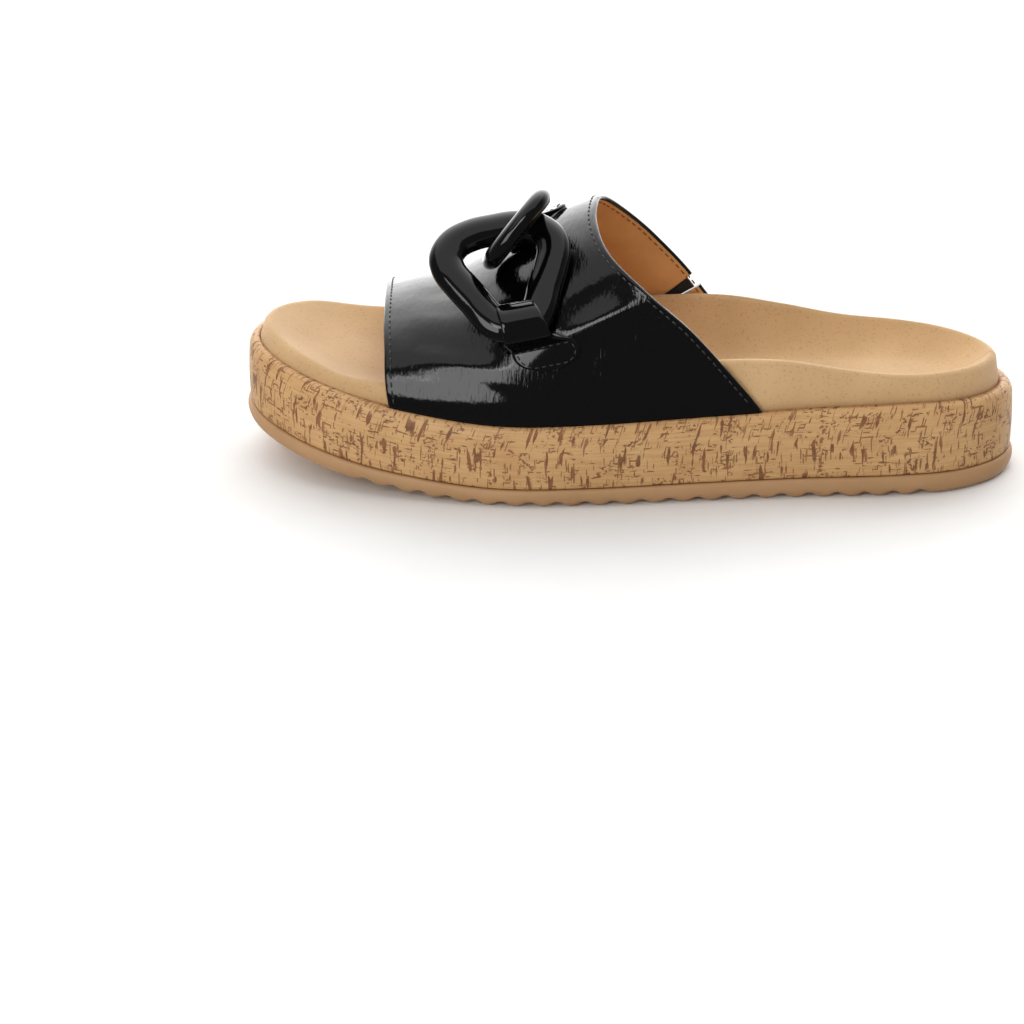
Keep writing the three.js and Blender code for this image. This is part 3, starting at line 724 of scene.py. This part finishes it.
def outline_of(points):
    """The smallest convex outline round points in a plane, anticlockwise."""
    points = sorted(map(tuple, points))

    def half(row):
        kept = []
        for p in row:
            while len(kept) > 1:
                a, b = kept[-2:]
                if (b[0] - a[0]) * (p[1] - a[1]) - (b[1] - a[1]) * (p[0] - a[0]) > 0:
                    break
                kept.pop()
            kept.append(p)
        return kept[:-1]

    return np.array(half(points) + half(points[::-1]))


# Sections along the fold: share of its half width, mm added to that, and mm sunk.
FOLD_ROUND = 0.55
FOLD_SIDE = [
    (-1.0, 0.0, 1.6), (-1.0, 0.0, FOLD_ROUND), (-1.0, 0.3 * FOLD_ROUND, 0.3 * FOLD_ROUND),
    (-1.0, FOLD_ROUND, 0.0), (-0.5, 0.0, -0.12), (0.0, 0.0, -0.18), (0.5, 0.0, -0.12),
    (1.0, -FOLD_ROUND, 0.0), (1.0, -0.3 * FOLD_ROUND, 0.3 * FOLD_ROUND), (1.0, 0.0, FOLD_ROUND),
    (1.0, 0.0, 1.6),
]
FOLD_UNDER_COVER = 1.1


def tab_fold(name, link):
    """The tab's leather, wrapped round the link's bar and down to the strap."""
    origin, across, along, face = link_place(link)
    middle = link["share"] * SOLE_LENGTH
    under = STRAP_WALL + PIECE_GAP
    skin = PIECE_GAP + TAB_WALL
    angle = np.linspace(0, 2 * np.pi, 72, endpoint=False)
    wide, high = link["breadth"] / 2 + skin, link["depth"] / 2 + skin
    ply = np.c_[wide * np.cos(angle), high * np.sin(angle)]
    feet = []
    for down in (0, TAB_TAIL):
        around = link["tab_from"] + (link["tab_to"] - link["tab_from"]) * down
        for out in (STRAP_WALL, under + TAB_SEAM):
            p = strap_surface([middle], [around], out, creased=False)[0] - origin
            feet.append([p @ along, p @ face])
    outline = evenly(outline_of(np.vstack([ply, feet])), 120)
    for _ in range(3):
        outline = (np.roll(outline, 1, axis=0) + 2 * outline + np.roll(outline, -1, axis=0)) / 4
    half = TAB_FOLD * link["tab_share"] / 2 - 0.3
    rings = []
    for share, inward, sunk in FOLD_SIDE:
        flat = offset(outline, -sunk - FOLD_UNDER_COVER)
        place = half * share + inward
        rings.append(origin + flat[:, :1] * along + flat[:, 1:] * face + across * place)
    n = len(outline)
    faces = quads(len(rings), n, around=True)
    faces += [list(range(n))[::-1], list(range((len(rings) - 1) * n, len(rings) * n))]
    return recalculate(make(name, np.concatenate(rings), faces))


def tab_row(link, down, inset=0.0):
    """A line across the sewn part of a tab: x from its front to its back edge."""
    middle = link["share"] * SOLE_LENGTH
    around = link["tab_from"] + (link["tab_to"] - link["tab_from"]) * down
    front = middle + tab_front(np.float64(down)) * link["tab_share"] + inset
    back = middle + tab_back(np.float64(down)) * link["tab_share"] - inset
    return front, back, around


def tab_patch(name, link):
    """The tab's lower ply where it lies flat on the strap, with a soft edge."""
    rows, columns = 44, 30
    under = STRAP_WALL + PIECE_GAP / 2
    step = np.arange(columns + 1) / columns
    inside, outside = [], []
    for down in np.arange(rows + 1) / rows:
        front, back, around = tab_row(link, down)
        x = front + (back - front) * step
        edge = np.minimum(np.minimum(step, 1 - step) * (back - front), (1 - down) * TAB_LENGTH)
        top = under + TAB_SEAM / 2 * (1 - np.exp(-edge / TAB_EDGE) * 0.75)
        inside.append(strap_surface(x, around, under))
        outside.append(strap_surface(x, around, top))
    return sheet_body(name, np.array(inside), np.array(outside))


def tab_cover(name, link):
    """The tab's outer ply: over the bar, taut down to its seam, then flat on the strap."""
    origin, across, along, face = link_place(link)
    columns = 32
    step = np.arange(columns + 1) / columns
    top = STRAP_WALL + PIECE_GAP / 2 + TAB_SEAM
    skin = PIECE_GAP + TAB_WALL
    to_heel = np.sign(across[0]) * link["tab_share"]
    rows = []
    for share in np.linspace(0, 1, 30):
        turn = math.radians(COVER_FROM + COVER_TURN * share)
        high = (link["breadth"] / 2 + skin) * math.cos(turn) * along
        high = high + (link["depth"] / 2 + skin) * math.sin(turn) * face
        side = ((step - 0.5) * TAB_FOLD + step * TAB_FLARE * share) * to_heel
        rows.append(origin + high + side[:, None] * across)

    def on_strap(down):
        front, back, around = tab_row(link, down)
        return strap_surface(front + (back - front) * step, around, top)

    last, seam = rows[-1], on_strap(TAB_LAID)
    for share in np.linspace(0, 1, 14)[1:-1]:
        rows.append(last * (1 - share) + seam * share)
    rows += [on_strap(down) for down in np.linspace(TAB_LAID, 1, 30)]
    outer = np.array(rows)
    for _ in range(4):
        outer[1:-1] = (outer[:-2] + 2 * outer[1:-1] + outer[2:]) / 4
    out = np.cross(np.gradient(outer, axis=0), np.gradient(outer, axis=1))
    out /= np.linalg.norm(out, axis=2)[:, :, None]
    out *= np.sign((out * face).sum(2).mean())
    wide = np.linalg.norm(outer[:, -1] - outer[:, 0], axis=1)[:, None]
    length = np.linalg.norm(np.diff(outer[:, columns // 2], axis=0), axis=1)
    left = np.concatenate([np.cumsum(length[::-1])[::-1], [0]])[:, None]
    edge = np.minimum(np.minimum(step, 1 - step)[None, :] * wide, left)
    sink = COVER_SOFT * np.exp(-edge / TAB_EDGE)
    return sheet_body(name, outer - out * COVER_PLY, outer - out * sink[:, :, None])


def stitches(name, path, normals, pitch, length, thickness):
    """A row of thread stitches along a path, each one a small capsule sunk at its ends."""
    steps = np.linalg.norm(np.diff(path, axis=0), axis=1)
    far = np.concatenate([[0], np.cumsum(steps)])
    count = max(1, int(far[-1] / pitch))
    pitch = far[-1] / count
    sides, sections = 8, 9
    points, faces = [], []

    def at(place, rows):
        return np.array([np.interp(place, far, rows[:, k]) for k in range(3)])

    for i in range(count):
        middle = (i + 0.5) * pitch
        a, b = at(middle - length / 2, path), at(middle + length / 2, path)
        up = at(middle, normals)
        up /= np.linalg.norm(up)
        way = (b - a) / np.linalg.norm(b - a)
        side = np.cross(up, way)
        base = len(points)
        for t in np.linspace(-1, 1, sections):
            wide = thickness / 2 * math.sqrt(max(0.02, 1 - abs(t) ** 3))
            rise = thickness * (0.34 - 0.62 * t * t)
            centre = (a + b) / 2 + way * t * length / 2 + up * rise
            for turn in np.arange(sides) * 2 * math.pi / sides:
                around = side * math.cos(turn) + up * 0.8 * math.sin(turn)
                points.append(centre + wide * around)
        end = base + (sections - 1) * sides
        faces += quads(sections, sides, around=True, base=base)
        faces.append(list(range(base, base + sides))[::-1])
        faces.append(list(range(end, end + sides)))
    return recalculate(make(name, points, faces))


def edge_stitches(name, edge, inset, out, normal_sign):
    """Stitches that follow the strap's front or back edge."""
    around = np.linspace(0.012, 0.988, 500)
    x = edge(around) * SOLE_LENGTH + inset
    path = strap_surface(x, around, out)
    return stitches(name, path, strap_normal(x, around) * normal_sign, *EDGE_STITCH)


def tab_stitches(name, link):
    """The tab's stitches: one row round the sewn end, and one across under the fold."""
    top = STRAP_WALL + PIECE_GAP / 2 + TAB_SEAM
    sides = [tab_row(link, down, TAB_STITCH_INSET) for down in np.linspace(0.5, 0.88, 20)]
    end_front, end_back, end_around = tab_row(link, 0.9, TAB_STITCH_INSET)
    turn = [(x, end_around) for x in np.linspace(end_front, end_back, 20)[1:-1]]
    down_front = [(front, around) for front, back, around in sides]
    up_back = [(back, around) for front, back, around in sides[::-1]]
    front, back, around = tab_row(link, 0.47, TAB_STITCH_INSET)
    across = [(x, around) for x in np.linspace(front, back, 30)]
    made = []
    for row in (down_front + turn + up_back, across):
        x, around = np.array(row).T
        path = strap_surface(x, around, top)
        made.append(stitches(f"{name}_{len(made)}", path, strap_normal(x, around), *TAB_STITCH))
    return join(name, made)


def join(name, parts):
    """One object from several."""
    shape = bmesh.new()
    for part in parts:
        shape.from_mesh(part.data)
        bpy.data.objects.remove(part)
    mesh = bpy.data.meshes.new(name)
    shape.to_mesh(mesh)
    shape.free()
    mesh.shade_smooth()
    piece = bpy.data.objects.new(name, mesh)
    bpy.context.scene.collection.objects.link(piece)
    return piece


# Materials

def colour(hex_value):
    """An sRGB hex colour as linear red, green, blue and alpha."""
    parts = [int(hex_value[i : i + 2], 16) / 255 for i in (1, 3, 5)]
    return [p / 12.92 if p <= 0.04045 else ((p + 0.055) / 1.055) ** 2.4 for p in parts] + [1.0]


def node(tree, kind, inputs=None, stops=(), **settings):
    """Adds a node with its settings, values and links; a node as a value links its first output.

    stops are a colour ramp's two places, each with a hex colour or a grey level.
    """
    made = tree.nodes.new("ShaderNode" + kind)
    for key, value in settings.items():
        setattr(made, key, value)
    for key, value in (inputs or {}).items():
        if isinstance(value, bpy.types.Node):
            value = value.outputs[0]
        if isinstance(value, bpy.types.NodeSocket):
            tree.links.new(value, made.inputs[key])
        else:
            made.inputs[key].default_value = value
    if stops:
        for element, (place, level) in zip(made.color_ramp.elements, stops):
            element.position = place
            element.color = colour(level) if isinstance(level, str) else [level] * 3 + [1.0]
    return made


def material(name):
    """An empty material and its tree."""
    made = bpy.data.materials.new(name)
    made.use_nodes = True
    made.node_tree.nodes.clear()
    return made, made.node_tree


def shaded(made, finish):
    """The material with its shader: finish holds the shader's values and links."""
    shader = node(made.node_tree, "BsdfPrincipled", finish)
    node(made.node_tree, "OutputMaterial", {"Surface": shader})
    return made


def per_mm(size):
    """Noise scale, in metres, whose features are about this many millimetres."""
    return 1 / (size * MM)


def moulded_rubber():
    """Moulded rubber: matt, with faint clouds from the mould and a fine grit."""
    made, tree = material("moulded_rubber")
    place = node(tree, "TexCoord").outputs["Object"]
    cloud = node(tree, "TexNoise", {"Vector": place, "Scale": per_mm(18), "Detail": 4.0})
    grit = node(tree, "TexNoise", {"Vector": place, "Scale": per_mm(0.5), "Detail": 2.0})
    tint = node(tree, "ValToRGB", {"Fac": cloud}, [(0.3, "#b38a5e"), (0.7, "#bf9469")])
    bump = node(tree, "Bump", {"Height": grit, "Strength": 0.12, "Distance": 0.1 * MM})
    return shaded(made, {"Base Color": tint, "Normal": bump, "IOR": 1.52, "Roughness": 0.55})


# The cork print's noise fields: mm along and up the side, detail and roughness. A dash is about
# 1 mm wide and 7 mm tall.
CORK_FIELDS = {
    "dash": (1.7, 9.5, 1.6, 0.45),
    "thin": (1.0, 8.0, 1.0, 0.5),
    "patch": (8.0, 12.0, 1.0, 0.5),
    "fleck": (1.3, 1.1, 3.0, 0.65),
    "cluster": (6.5, 7.0, 1.5, 0.5),
    "bar": (5.0, 0.9, 1.5, 0.5),
    "lines": (18.0, 0.8, 2.0, 0.6),
    "cloud": (16.0, 12.0, 3.0, 0.5),
    "wobble": (3.4, 3.4, 2.0, 0.6),
}

# Square cells of the print: mm along and up the side, and where in a cell its outline runs.
CORK_BLOCK = (5.6, 7.5, 0.3)

# The kinds of printed marks. A mark shows where all of its fields do: each one has the levels
# at which it starts and is full, and its strength then.
CORK_MARKS = {
    "dashes": [("dash", 0.59, 0.62, 1.0), ("patch", 0.4, 0.47, 1.0)],
    "hairs": [("thin", 0.625, 0.66, 0.8)],
    "dots": [("fleck", 0.52, 0.56, 1.0), ("cluster", 0.56, 0.6, 1.0)],
    "bars": [("bar", 0.62, 0.655, 1.0), ("patch", 0.5, 0.56, 1.0)],
    "outlines": [("ring", 0.045, 0.025, 1.0), ("wobble", 0.53, 0.57, 1.0)],
}
PRINT_STRENGTH = 0.9


def printed_cork():
    """Cork-print foil round a foam core: satin, with brown dashes, blocks and flecks."""
    made, tree = material("printed_cork_foil")
    wrap = node(tree, "UVMap", uv_map="wrap")
    fields = {}
    for name, (along, up, detail, rough) in CORK_FIELDS.items():
        scaled = node(tree, "Mapping", {"Vector": wrap, "Scale": (1 / along, 1 / up, 1)})
        sizes = {"Vector": scaled, "Scale": 1.0, "Detail": detail, "Roughness": rough}
        fields[name] = node(tree, "TexNoise", sizes)
    along, up, outline = CORK_BLOCK
    scaled = node(tree, "Mapping", {"Vector": wrap, "Scale": (1 / along, 1 / up, 1)})
    block = node(
        tree, "TexVoronoi", {"Vector": scaled, "Scale": 1.0},
        feature="F1", distance="CHEBYCHEV", voronoi_dimensions="2D",
    )
    away = node(tree, "Math", {0: block, 1: outline}, operation="SUBTRACT")
    fields["ring"] = node(tree, "Math", {0: away}, operation="ABSOLUTE")
    marks = 0.0
    for limits in CORK_MARKS.values():
        mark = 1.0
        for name, start, full, strength in limits:
            levels = {"From Min": start, "From Max": full, "To Max": strength}
            seen = node(
                tree, "MapRange", {"Value": fields[name], **levels}, interpolation_type="SMOOTHSTEP"
            )
            mark = node(tree, "Math", {0: mark, 1: seen}, operation="MULTIPLY")
        marks = node(tree, "Math", {0: marks, 1: mark}, operation="MAXIMUM")
    marks = node(tree, "Math", {0: marks, 1: PRINT_STRENGTH}, operation="MULTIPLY")
    base = node(tree, "ValToRGB", {"Fac": fields["cloud"]}, [(0.3, "#c3945d"), (0.7, "#d3a871")])
    fine = node(tree, "ValToRGB", {"Fac": fields["lines"]}, [(0.35, "#b9895a"), (0.65, "#d8b07a")])
    ink = node(tree, "ValToRGB", {"Fac": fields["wobble"]}, [(0.35, "#6b3d22"), (0.65, "#8d5834")])
    ground = node(tree, "Mix", {"Factor": 0.4, 6: base, 7: fine}, data_type="RGBA").outputs[2]
    tint = node(tree, "Mix", {"Factor": marks, 6: ground, 7: ink}, data_type="RGBA").outputs[2]
    height = node(tree, "Math", {0: marks, 1: -0.5}, operation="MULTIPLY")
    bump = node(tree, "Bump", {"Height": height, "Strength": 0.25, "Distance": 0.08 * MM})
    return shaded(made, {"Base Color": tint, "Normal": bump, "IOR": 1.48, "Roughness": 0.5})


def nubuck():
    """Nubuck calf: sanded to a short nap, so it is dead matt with fine darker speckles."""
    made, tree = material("sanded_nubuck")
    place = node(tree, "TexCoord").outputs["Object"]
    cloud = node(tree, "TexNoise", {"Vector": place, "Scale": per_mm(26), "Detail": 3.0})
    nap = node(tree, "TexNoise", {"Vector": place, "Scale": per_mm(0.35), "Detail": 3.0})
    grain = {"Vector": place, "Scale": per_mm(0.9), "Detail": 4.0, "Roughness": 0.7}
    speck = node(tree, "TexNoise", grain)
    light = node(tree, "ValToRGB", {"Fac": cloud}, [(0.3, "#c9a375"), (0.7, "#d6b080")])
    dots = node(tree, "ValToRGB", {"Fac": speck}, [(0.35, 0.55), (0.43, 1.0)])
    tint = node(
        tree, "Mix", {"Factor": 0.6, 6: light, 7: dots}, data_type="RGBA", blend_type="MULTIPLY"
    ).outputs[2]
    bump = node(tree, "Bump", {"Height": nap, "Strength": 0.35, "Distance": 0.15 * MM})
    return shaded(made, {
        "Base Color": tint, "Normal": bump, "IOR": 1.45, "Roughness": 0.92, "Sheen Weight": 0.25,
        "Sheen Roughness": 0.5,
    })


# Patent leather: crinkles lie 1 mm apart along the shoe and are 4.2 mm tall, and softer ripples
# are 9 mm wide.
CRINKLE_PITCH = 1.0
CRINKLE_TALL = 4.2
RIPPLE = 9.0
RIPPLE_SHARE = 1.3


def patent_leather(name, crinkle):
    """Patent leather: dyed black, flooded with clear lacquer, crinkled where it is lasted."""
    made, tree = material(name)
    place = node(tree, "UVMap", uv_map="wrap")
    size = (1 / CRINKLE_PITCH, 1 / CRINKLE_TALL, 1)
    fine = node(tree, "Mapping", {"Vector": place, "Scale": size})
    grain = {"Vector": fine, "Scale": 1.0, "Detail": 3.0, "Roughness": 0.55, "Distortion": 0.4}
    wrinkle = node(tree, "TexNoise", grain)
    broad = node(tree, "TexNoise", {"Vector": place, "Scale": 1 / RIPPLE, "Detail": 2.0})
    small = node(tree, "Math", {0: wrinkle, 1: crinkle}, operation="MULTIPLY")
    large = {0: broad, 1: RIPPLE_SHARE * crinkle, 2: small}
    height = node(tree, "Math", large, operation="MULTIPLY_ADD")
    bump = node(tree, "Bump", {"Height": height, "Strength": 0.5, "Distance": 0.22 * MM})
    return shaded(made, {
        "Base Color": colour("#060607"), "Normal": bump, "IOR": 1.5, "Roughness": 0.07,
        "Specular IOR Level": 0.5,
    })


def lining_leather():
    """Vegetable-tanned lining leather: smooth, tan, with a little grain."""
    made, tree = material("lining_leather")
    place = node(tree, "TexCoord").outputs["Object"]
    cloud = node(tree, "TexNoise", {"Vector": place, "Scale": per_mm(14), "Detail": 4.0})
    pores = node(tree, "TexNoise", {"Vector": place, "Scale": per_mm(0.6), "Detail": 3.0})
    tint = node(tree, "ValToRGB", {"Fac": cloud}, [(0.3, "#d39c63"), (0.7, "#e2ad74")])
    bump = node(tree, "Bump", {"Height": pores, "Strength": 0.25, "Distance": 0.1 * MM})
    return shaded(made, {"Base Color": tint, "Normal": bump, "IOR": 1.46, "Roughness": 0.55})


def woven_elastic():
    """Covered elastic webbing: black, matt, ribbed across."""
    made, tree = material("woven_elastic")
    place = node(tree, "TexCoord").outputs["Object"]
    weave = node(tree, "TexNoise", {"Vector": place, "Scale": per_mm(0.4), "Detail": 2.0})
    tint = node(tree, "ValToRGB", {"Fac": weave}, [(0.35, "#121213"), (0.65, "#242426")])
    bump = node(tree, "Bump", {"Height": weave, "Strength": 0.4, "Distance": 0.12 * MM})
    return shaded(made, {
        "Base Color": tint, "Normal": bump, "IOR": 1.5, "Roughness": 0.85, "Sheen Weight": 0.2,
    })


def bonded_thread(name, dark, light):
    """Bonded polyester thread: twisted, with a slight wax shine."""
    made, tree = material(name)
    place = node(tree, "TexCoord").outputs["Object"]
    twist = node(tree, "TexWave", {"Vector": place, "Scale": per_mm(1.2), "Distortion": 1.5})
    tint = node(tree, "ValToRGB", {"Fac": twist.outputs["Fac"]}, [(0.2, dark), (0.8, light)])
    return shaded(made, {"Base Color": tint, "IOR": 1.5, "Roughness": 0.35})


def white_paper():
    """Studio paper: white and matt, with hardly any grain."""
    made, tree = material("white_paper")
    grain = node(tree, "TexNoise", {"Scale": per_mm(3), "Detail": 2.0})
    tint = node(tree, "ValToRGB", {"Fac": grain}, [(0.3, "#f6f6f5"), (0.7, "#f9f9f8")])
    return shaded(made, {"Base Color": tint, "IOR": 1.3, "Roughness": 0.9})


def wrap_map(piece, us, vs):
    """A map in millimetres, one u and v for each vertex."""
    layer = piece.data.uv_layers.new(name="wrap")
    index = np.zeros(len(piece.data.loops), np.int64)
    piece.data.loops.foreach_get("vertex_index", index)
    layer.data.foreach_set("uv", np.c_[us[index], vs[index]].astype(np.float32).ravel())


def points_of(piece):
    """A piece's points in the maker's frame."""
    points = np.zeros(len(piece.data.vertices) * 3)
    piece.data.vertices.foreach_get("co", points)
    return points.reshape(-1, 3) / MM - SHIFT


def map_round_sole(piece):
    """u runs round the outline, slanting near the lip, and v up the side and over the edge."""
    grid = points_of(piece).reshape(-1, len(SOLE), 3)
    steps = np.linalg.norm(np.roll(SOLE, -1, axis=0) - SOLE, axis=1)
    far = np.concatenate([[0], np.cumsum(steps)[:-1]])
    rise = np.linalg.norm(np.diff(grid, axis=0), axis=2)
    up = np.concatenate([np.zeros((1, len(SOLE))), np.cumsum(rise, axis=0)])
    slant = LIP_SLANT * np.maximum(0, up - LIP_START)
    wrap_map(piece, (far - slant).ravel(), up.ravel())


def map_on_strap(piece):
    """u is the length along the shoe and v the way round the strap."""
    x, y, z = points_of(piece).T
    middle = crest_across(x / SOLE_LENGTH) * BALL_WIDTH
    squash = STRAP_RISE * crest_share(x / SOLE_LENGTH) / STRAP_REACH
    turn = np.arctan2(z - seam_at(x), (middle - y) * squash)
    wrap_map(piece, x, turn * STRAP_REACH)


def dress(piece, materials, slot, *nodes):
    """Gives a piece its materials and its body, and hides the nodes that it stands for; slot is not
    used.
    """
    for made in materials:
        piece.data.materials.append(made)
    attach(piece, "root")
    if nodes:
        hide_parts(*nodes)
    return piece


patent = patent_leather("patent_leather", 1.0)
smooth_patent = patent_leather("smooth_patent", 0.12)
lining = lining_leather()
black_thread = bonded_thread("black_thread", "#151516", "#3a3a3c")
tan_thread = bonded_thread("tan_thread", "#7a5026", "#946335")
elastic = woven_elastic()

sole = outsole()
dress(sole, [moulded_rubber()], "rubber", "outsole")

wrap = cork_platform()
map_round_sole(wrap)
dress(wrap, [printed_cork()], "cork_print", "cork_platform")

bed = footbed()
dress(bed, [nubuck()], "nubuck", "footbed")

strap = strap_body()
strap.data.materials.append(patent)
strap.data.materials.append(lining)
line_inside(strap)
map_on_strap(strap)
slot_corners, slot_y = gore_corners(0, -GORE_OPENING)
strap = cut(strap, prism("slot", slot_corners, slot_y / 2, slot_y * 2))
dress(strap, [], "patent", "strap")

gore = elastic_gore()
dress(gore, [elastic], "elastic", "elastic_gore")

for name, edge, inset in (("front", edge_front, STITCH_INSET), ("back", edge_back, -STITCH_INSET)):
    row = edge_stitches(f"{name}_edge_stitches", edge, inset, STRAP_WALL, 1)
    dress(row, [black_thread], "patent")
    row = edge_stitches(f"{name}_lining_stitches", edge, inset, 0.0, -1)
    dress(row, [tan_thread], "patent")

for side, link in CHAIN.items():
    ring = link_ring(f"puffed_link_{side}", link)
    map_on_strap(ring)
    dress(ring, [smooth_patent], "patent", f"link_{side}")
    fold = tab_fold(f"tab_fold_{side}", link)
    map_on_strap(fold)
    dress(fold, [smooth_patent], "patent", f"tab_{side}")
    for form, build in (("patch", tab_patch), ("cover", tab_cover)):
        leather = build(f"tab_{form}_{side}", link)
        map_on_strap(leather)
        dress(leather, [smooth_patent], "patent")
    row = tab_stitches(f"tab_stitches_{side}", link)
    dress(row, [black_thread], "patent")

# Floor
bpy.ops.mesh.primitive_plane_add(size=12)
floor = bpy.context.object
floor.name = "floor"
floor.data.materials.append(white_paper())
floor.visible_glossy = False

# Camera: solved from the photograph, with no roll and no shift.
CAMERA_PLACE = Vector((50.0, -1437.6, 572.4)) * MM
CAMERA_AZIMUTH = math.radians(3.651)
CAMERA_ELEVATION = math.radians(22.430)
FOCAL_SHARE = 4.2144
SENSOR = 36.0

camera_data = bpy.data.cameras.new("camera")
camera_data.lens = FOCAL_SHARE * SENSOR
camera_data.sensor_width = SENSOR
camera_data.clip_end = 50
camera = bpy.data.objects.new("camera", camera_data)
camera.location = CAMERA_PLACE
camera.rotation_euler = (math.pi / 2 - CAMERA_ELEVATION, 0, CAMERA_AZIMUTH)
bpy.context.scene.collection.objects.link(camera)
bpy.context.scene.camera = camera


def softbox(name, place, target, size, power, tint=(1, 1, 1)):
    """A rectangular area light that points at a target; lengths in metres."""
    data = bpy.data.lights.new(name, "AREA")
    data.shape = "RECTANGLE"
    data.size, data.size_y = size
    data.energy = power
    data.color = tint
    lamp = bpy.data.objects.new(name, data)
    lamp.location = place
    lamp.rotation_euler = (Vector(target) - Vector(place)).to_track_quat("-Z", "Y").to_euler()
    bpy.context.scene.collection.objects.link(lamp)
    return lamp


# A wide dim ceiling box, a key box to the front left and a smaller one above it.
softbox("ceiling", (0.0, 0.1, 1.6), (0, 0.1, 0), (3.2, 2.4), 17)
softbox("key", (-0.92, -1.66, 0.76), (0, 0, 0.03), (1.15, 1.15), 14)
softbox("strip", (-0.27, -1.5, 1.28), (0, 0, 0.05), (0.7, 0.4), 3.6)

# The studio's pale wall stands behind the shoe, so the surroundings fade from it to dark.
WALL_WAY = (0.0, 0.95, 0.31)
WALL_LIGHT = 3.4
WALL_FALL = 2.4
ROOM_LIGHT = 0.12
world = bpy.data.worlds.new("studio")
world.use_nodes = True
room = world.node_tree
way = node(room, "TexCoord").outputs["Generated"]
toward = node(room, "VectorMath", {0: way, 1: WALL_WAY}, operation="DOT_PRODUCT").outputs["Value"]
ahead = node(room, "Math", {0: toward, 1: 0.0}, operation="MAXIMUM")
fall = node(room, "Math", {0: ahead, 1: WALL_FALL}, operation="POWER")
glow = node(room, "Math", {0: fall, 1: WALL_LIGHT, 2: ROOM_LIGHT}, operation="MULTIPLY_ADD")
room.links.new(glow.outputs[0], room.nodes["Background"].inputs["Strength"])
room.nodes["Background"].inputs["Color"].default_value = (1, 1, 1, 1)
bpy.context.scene.world = world
bpy.context.scene.view_settings.view_transform = "Standard"
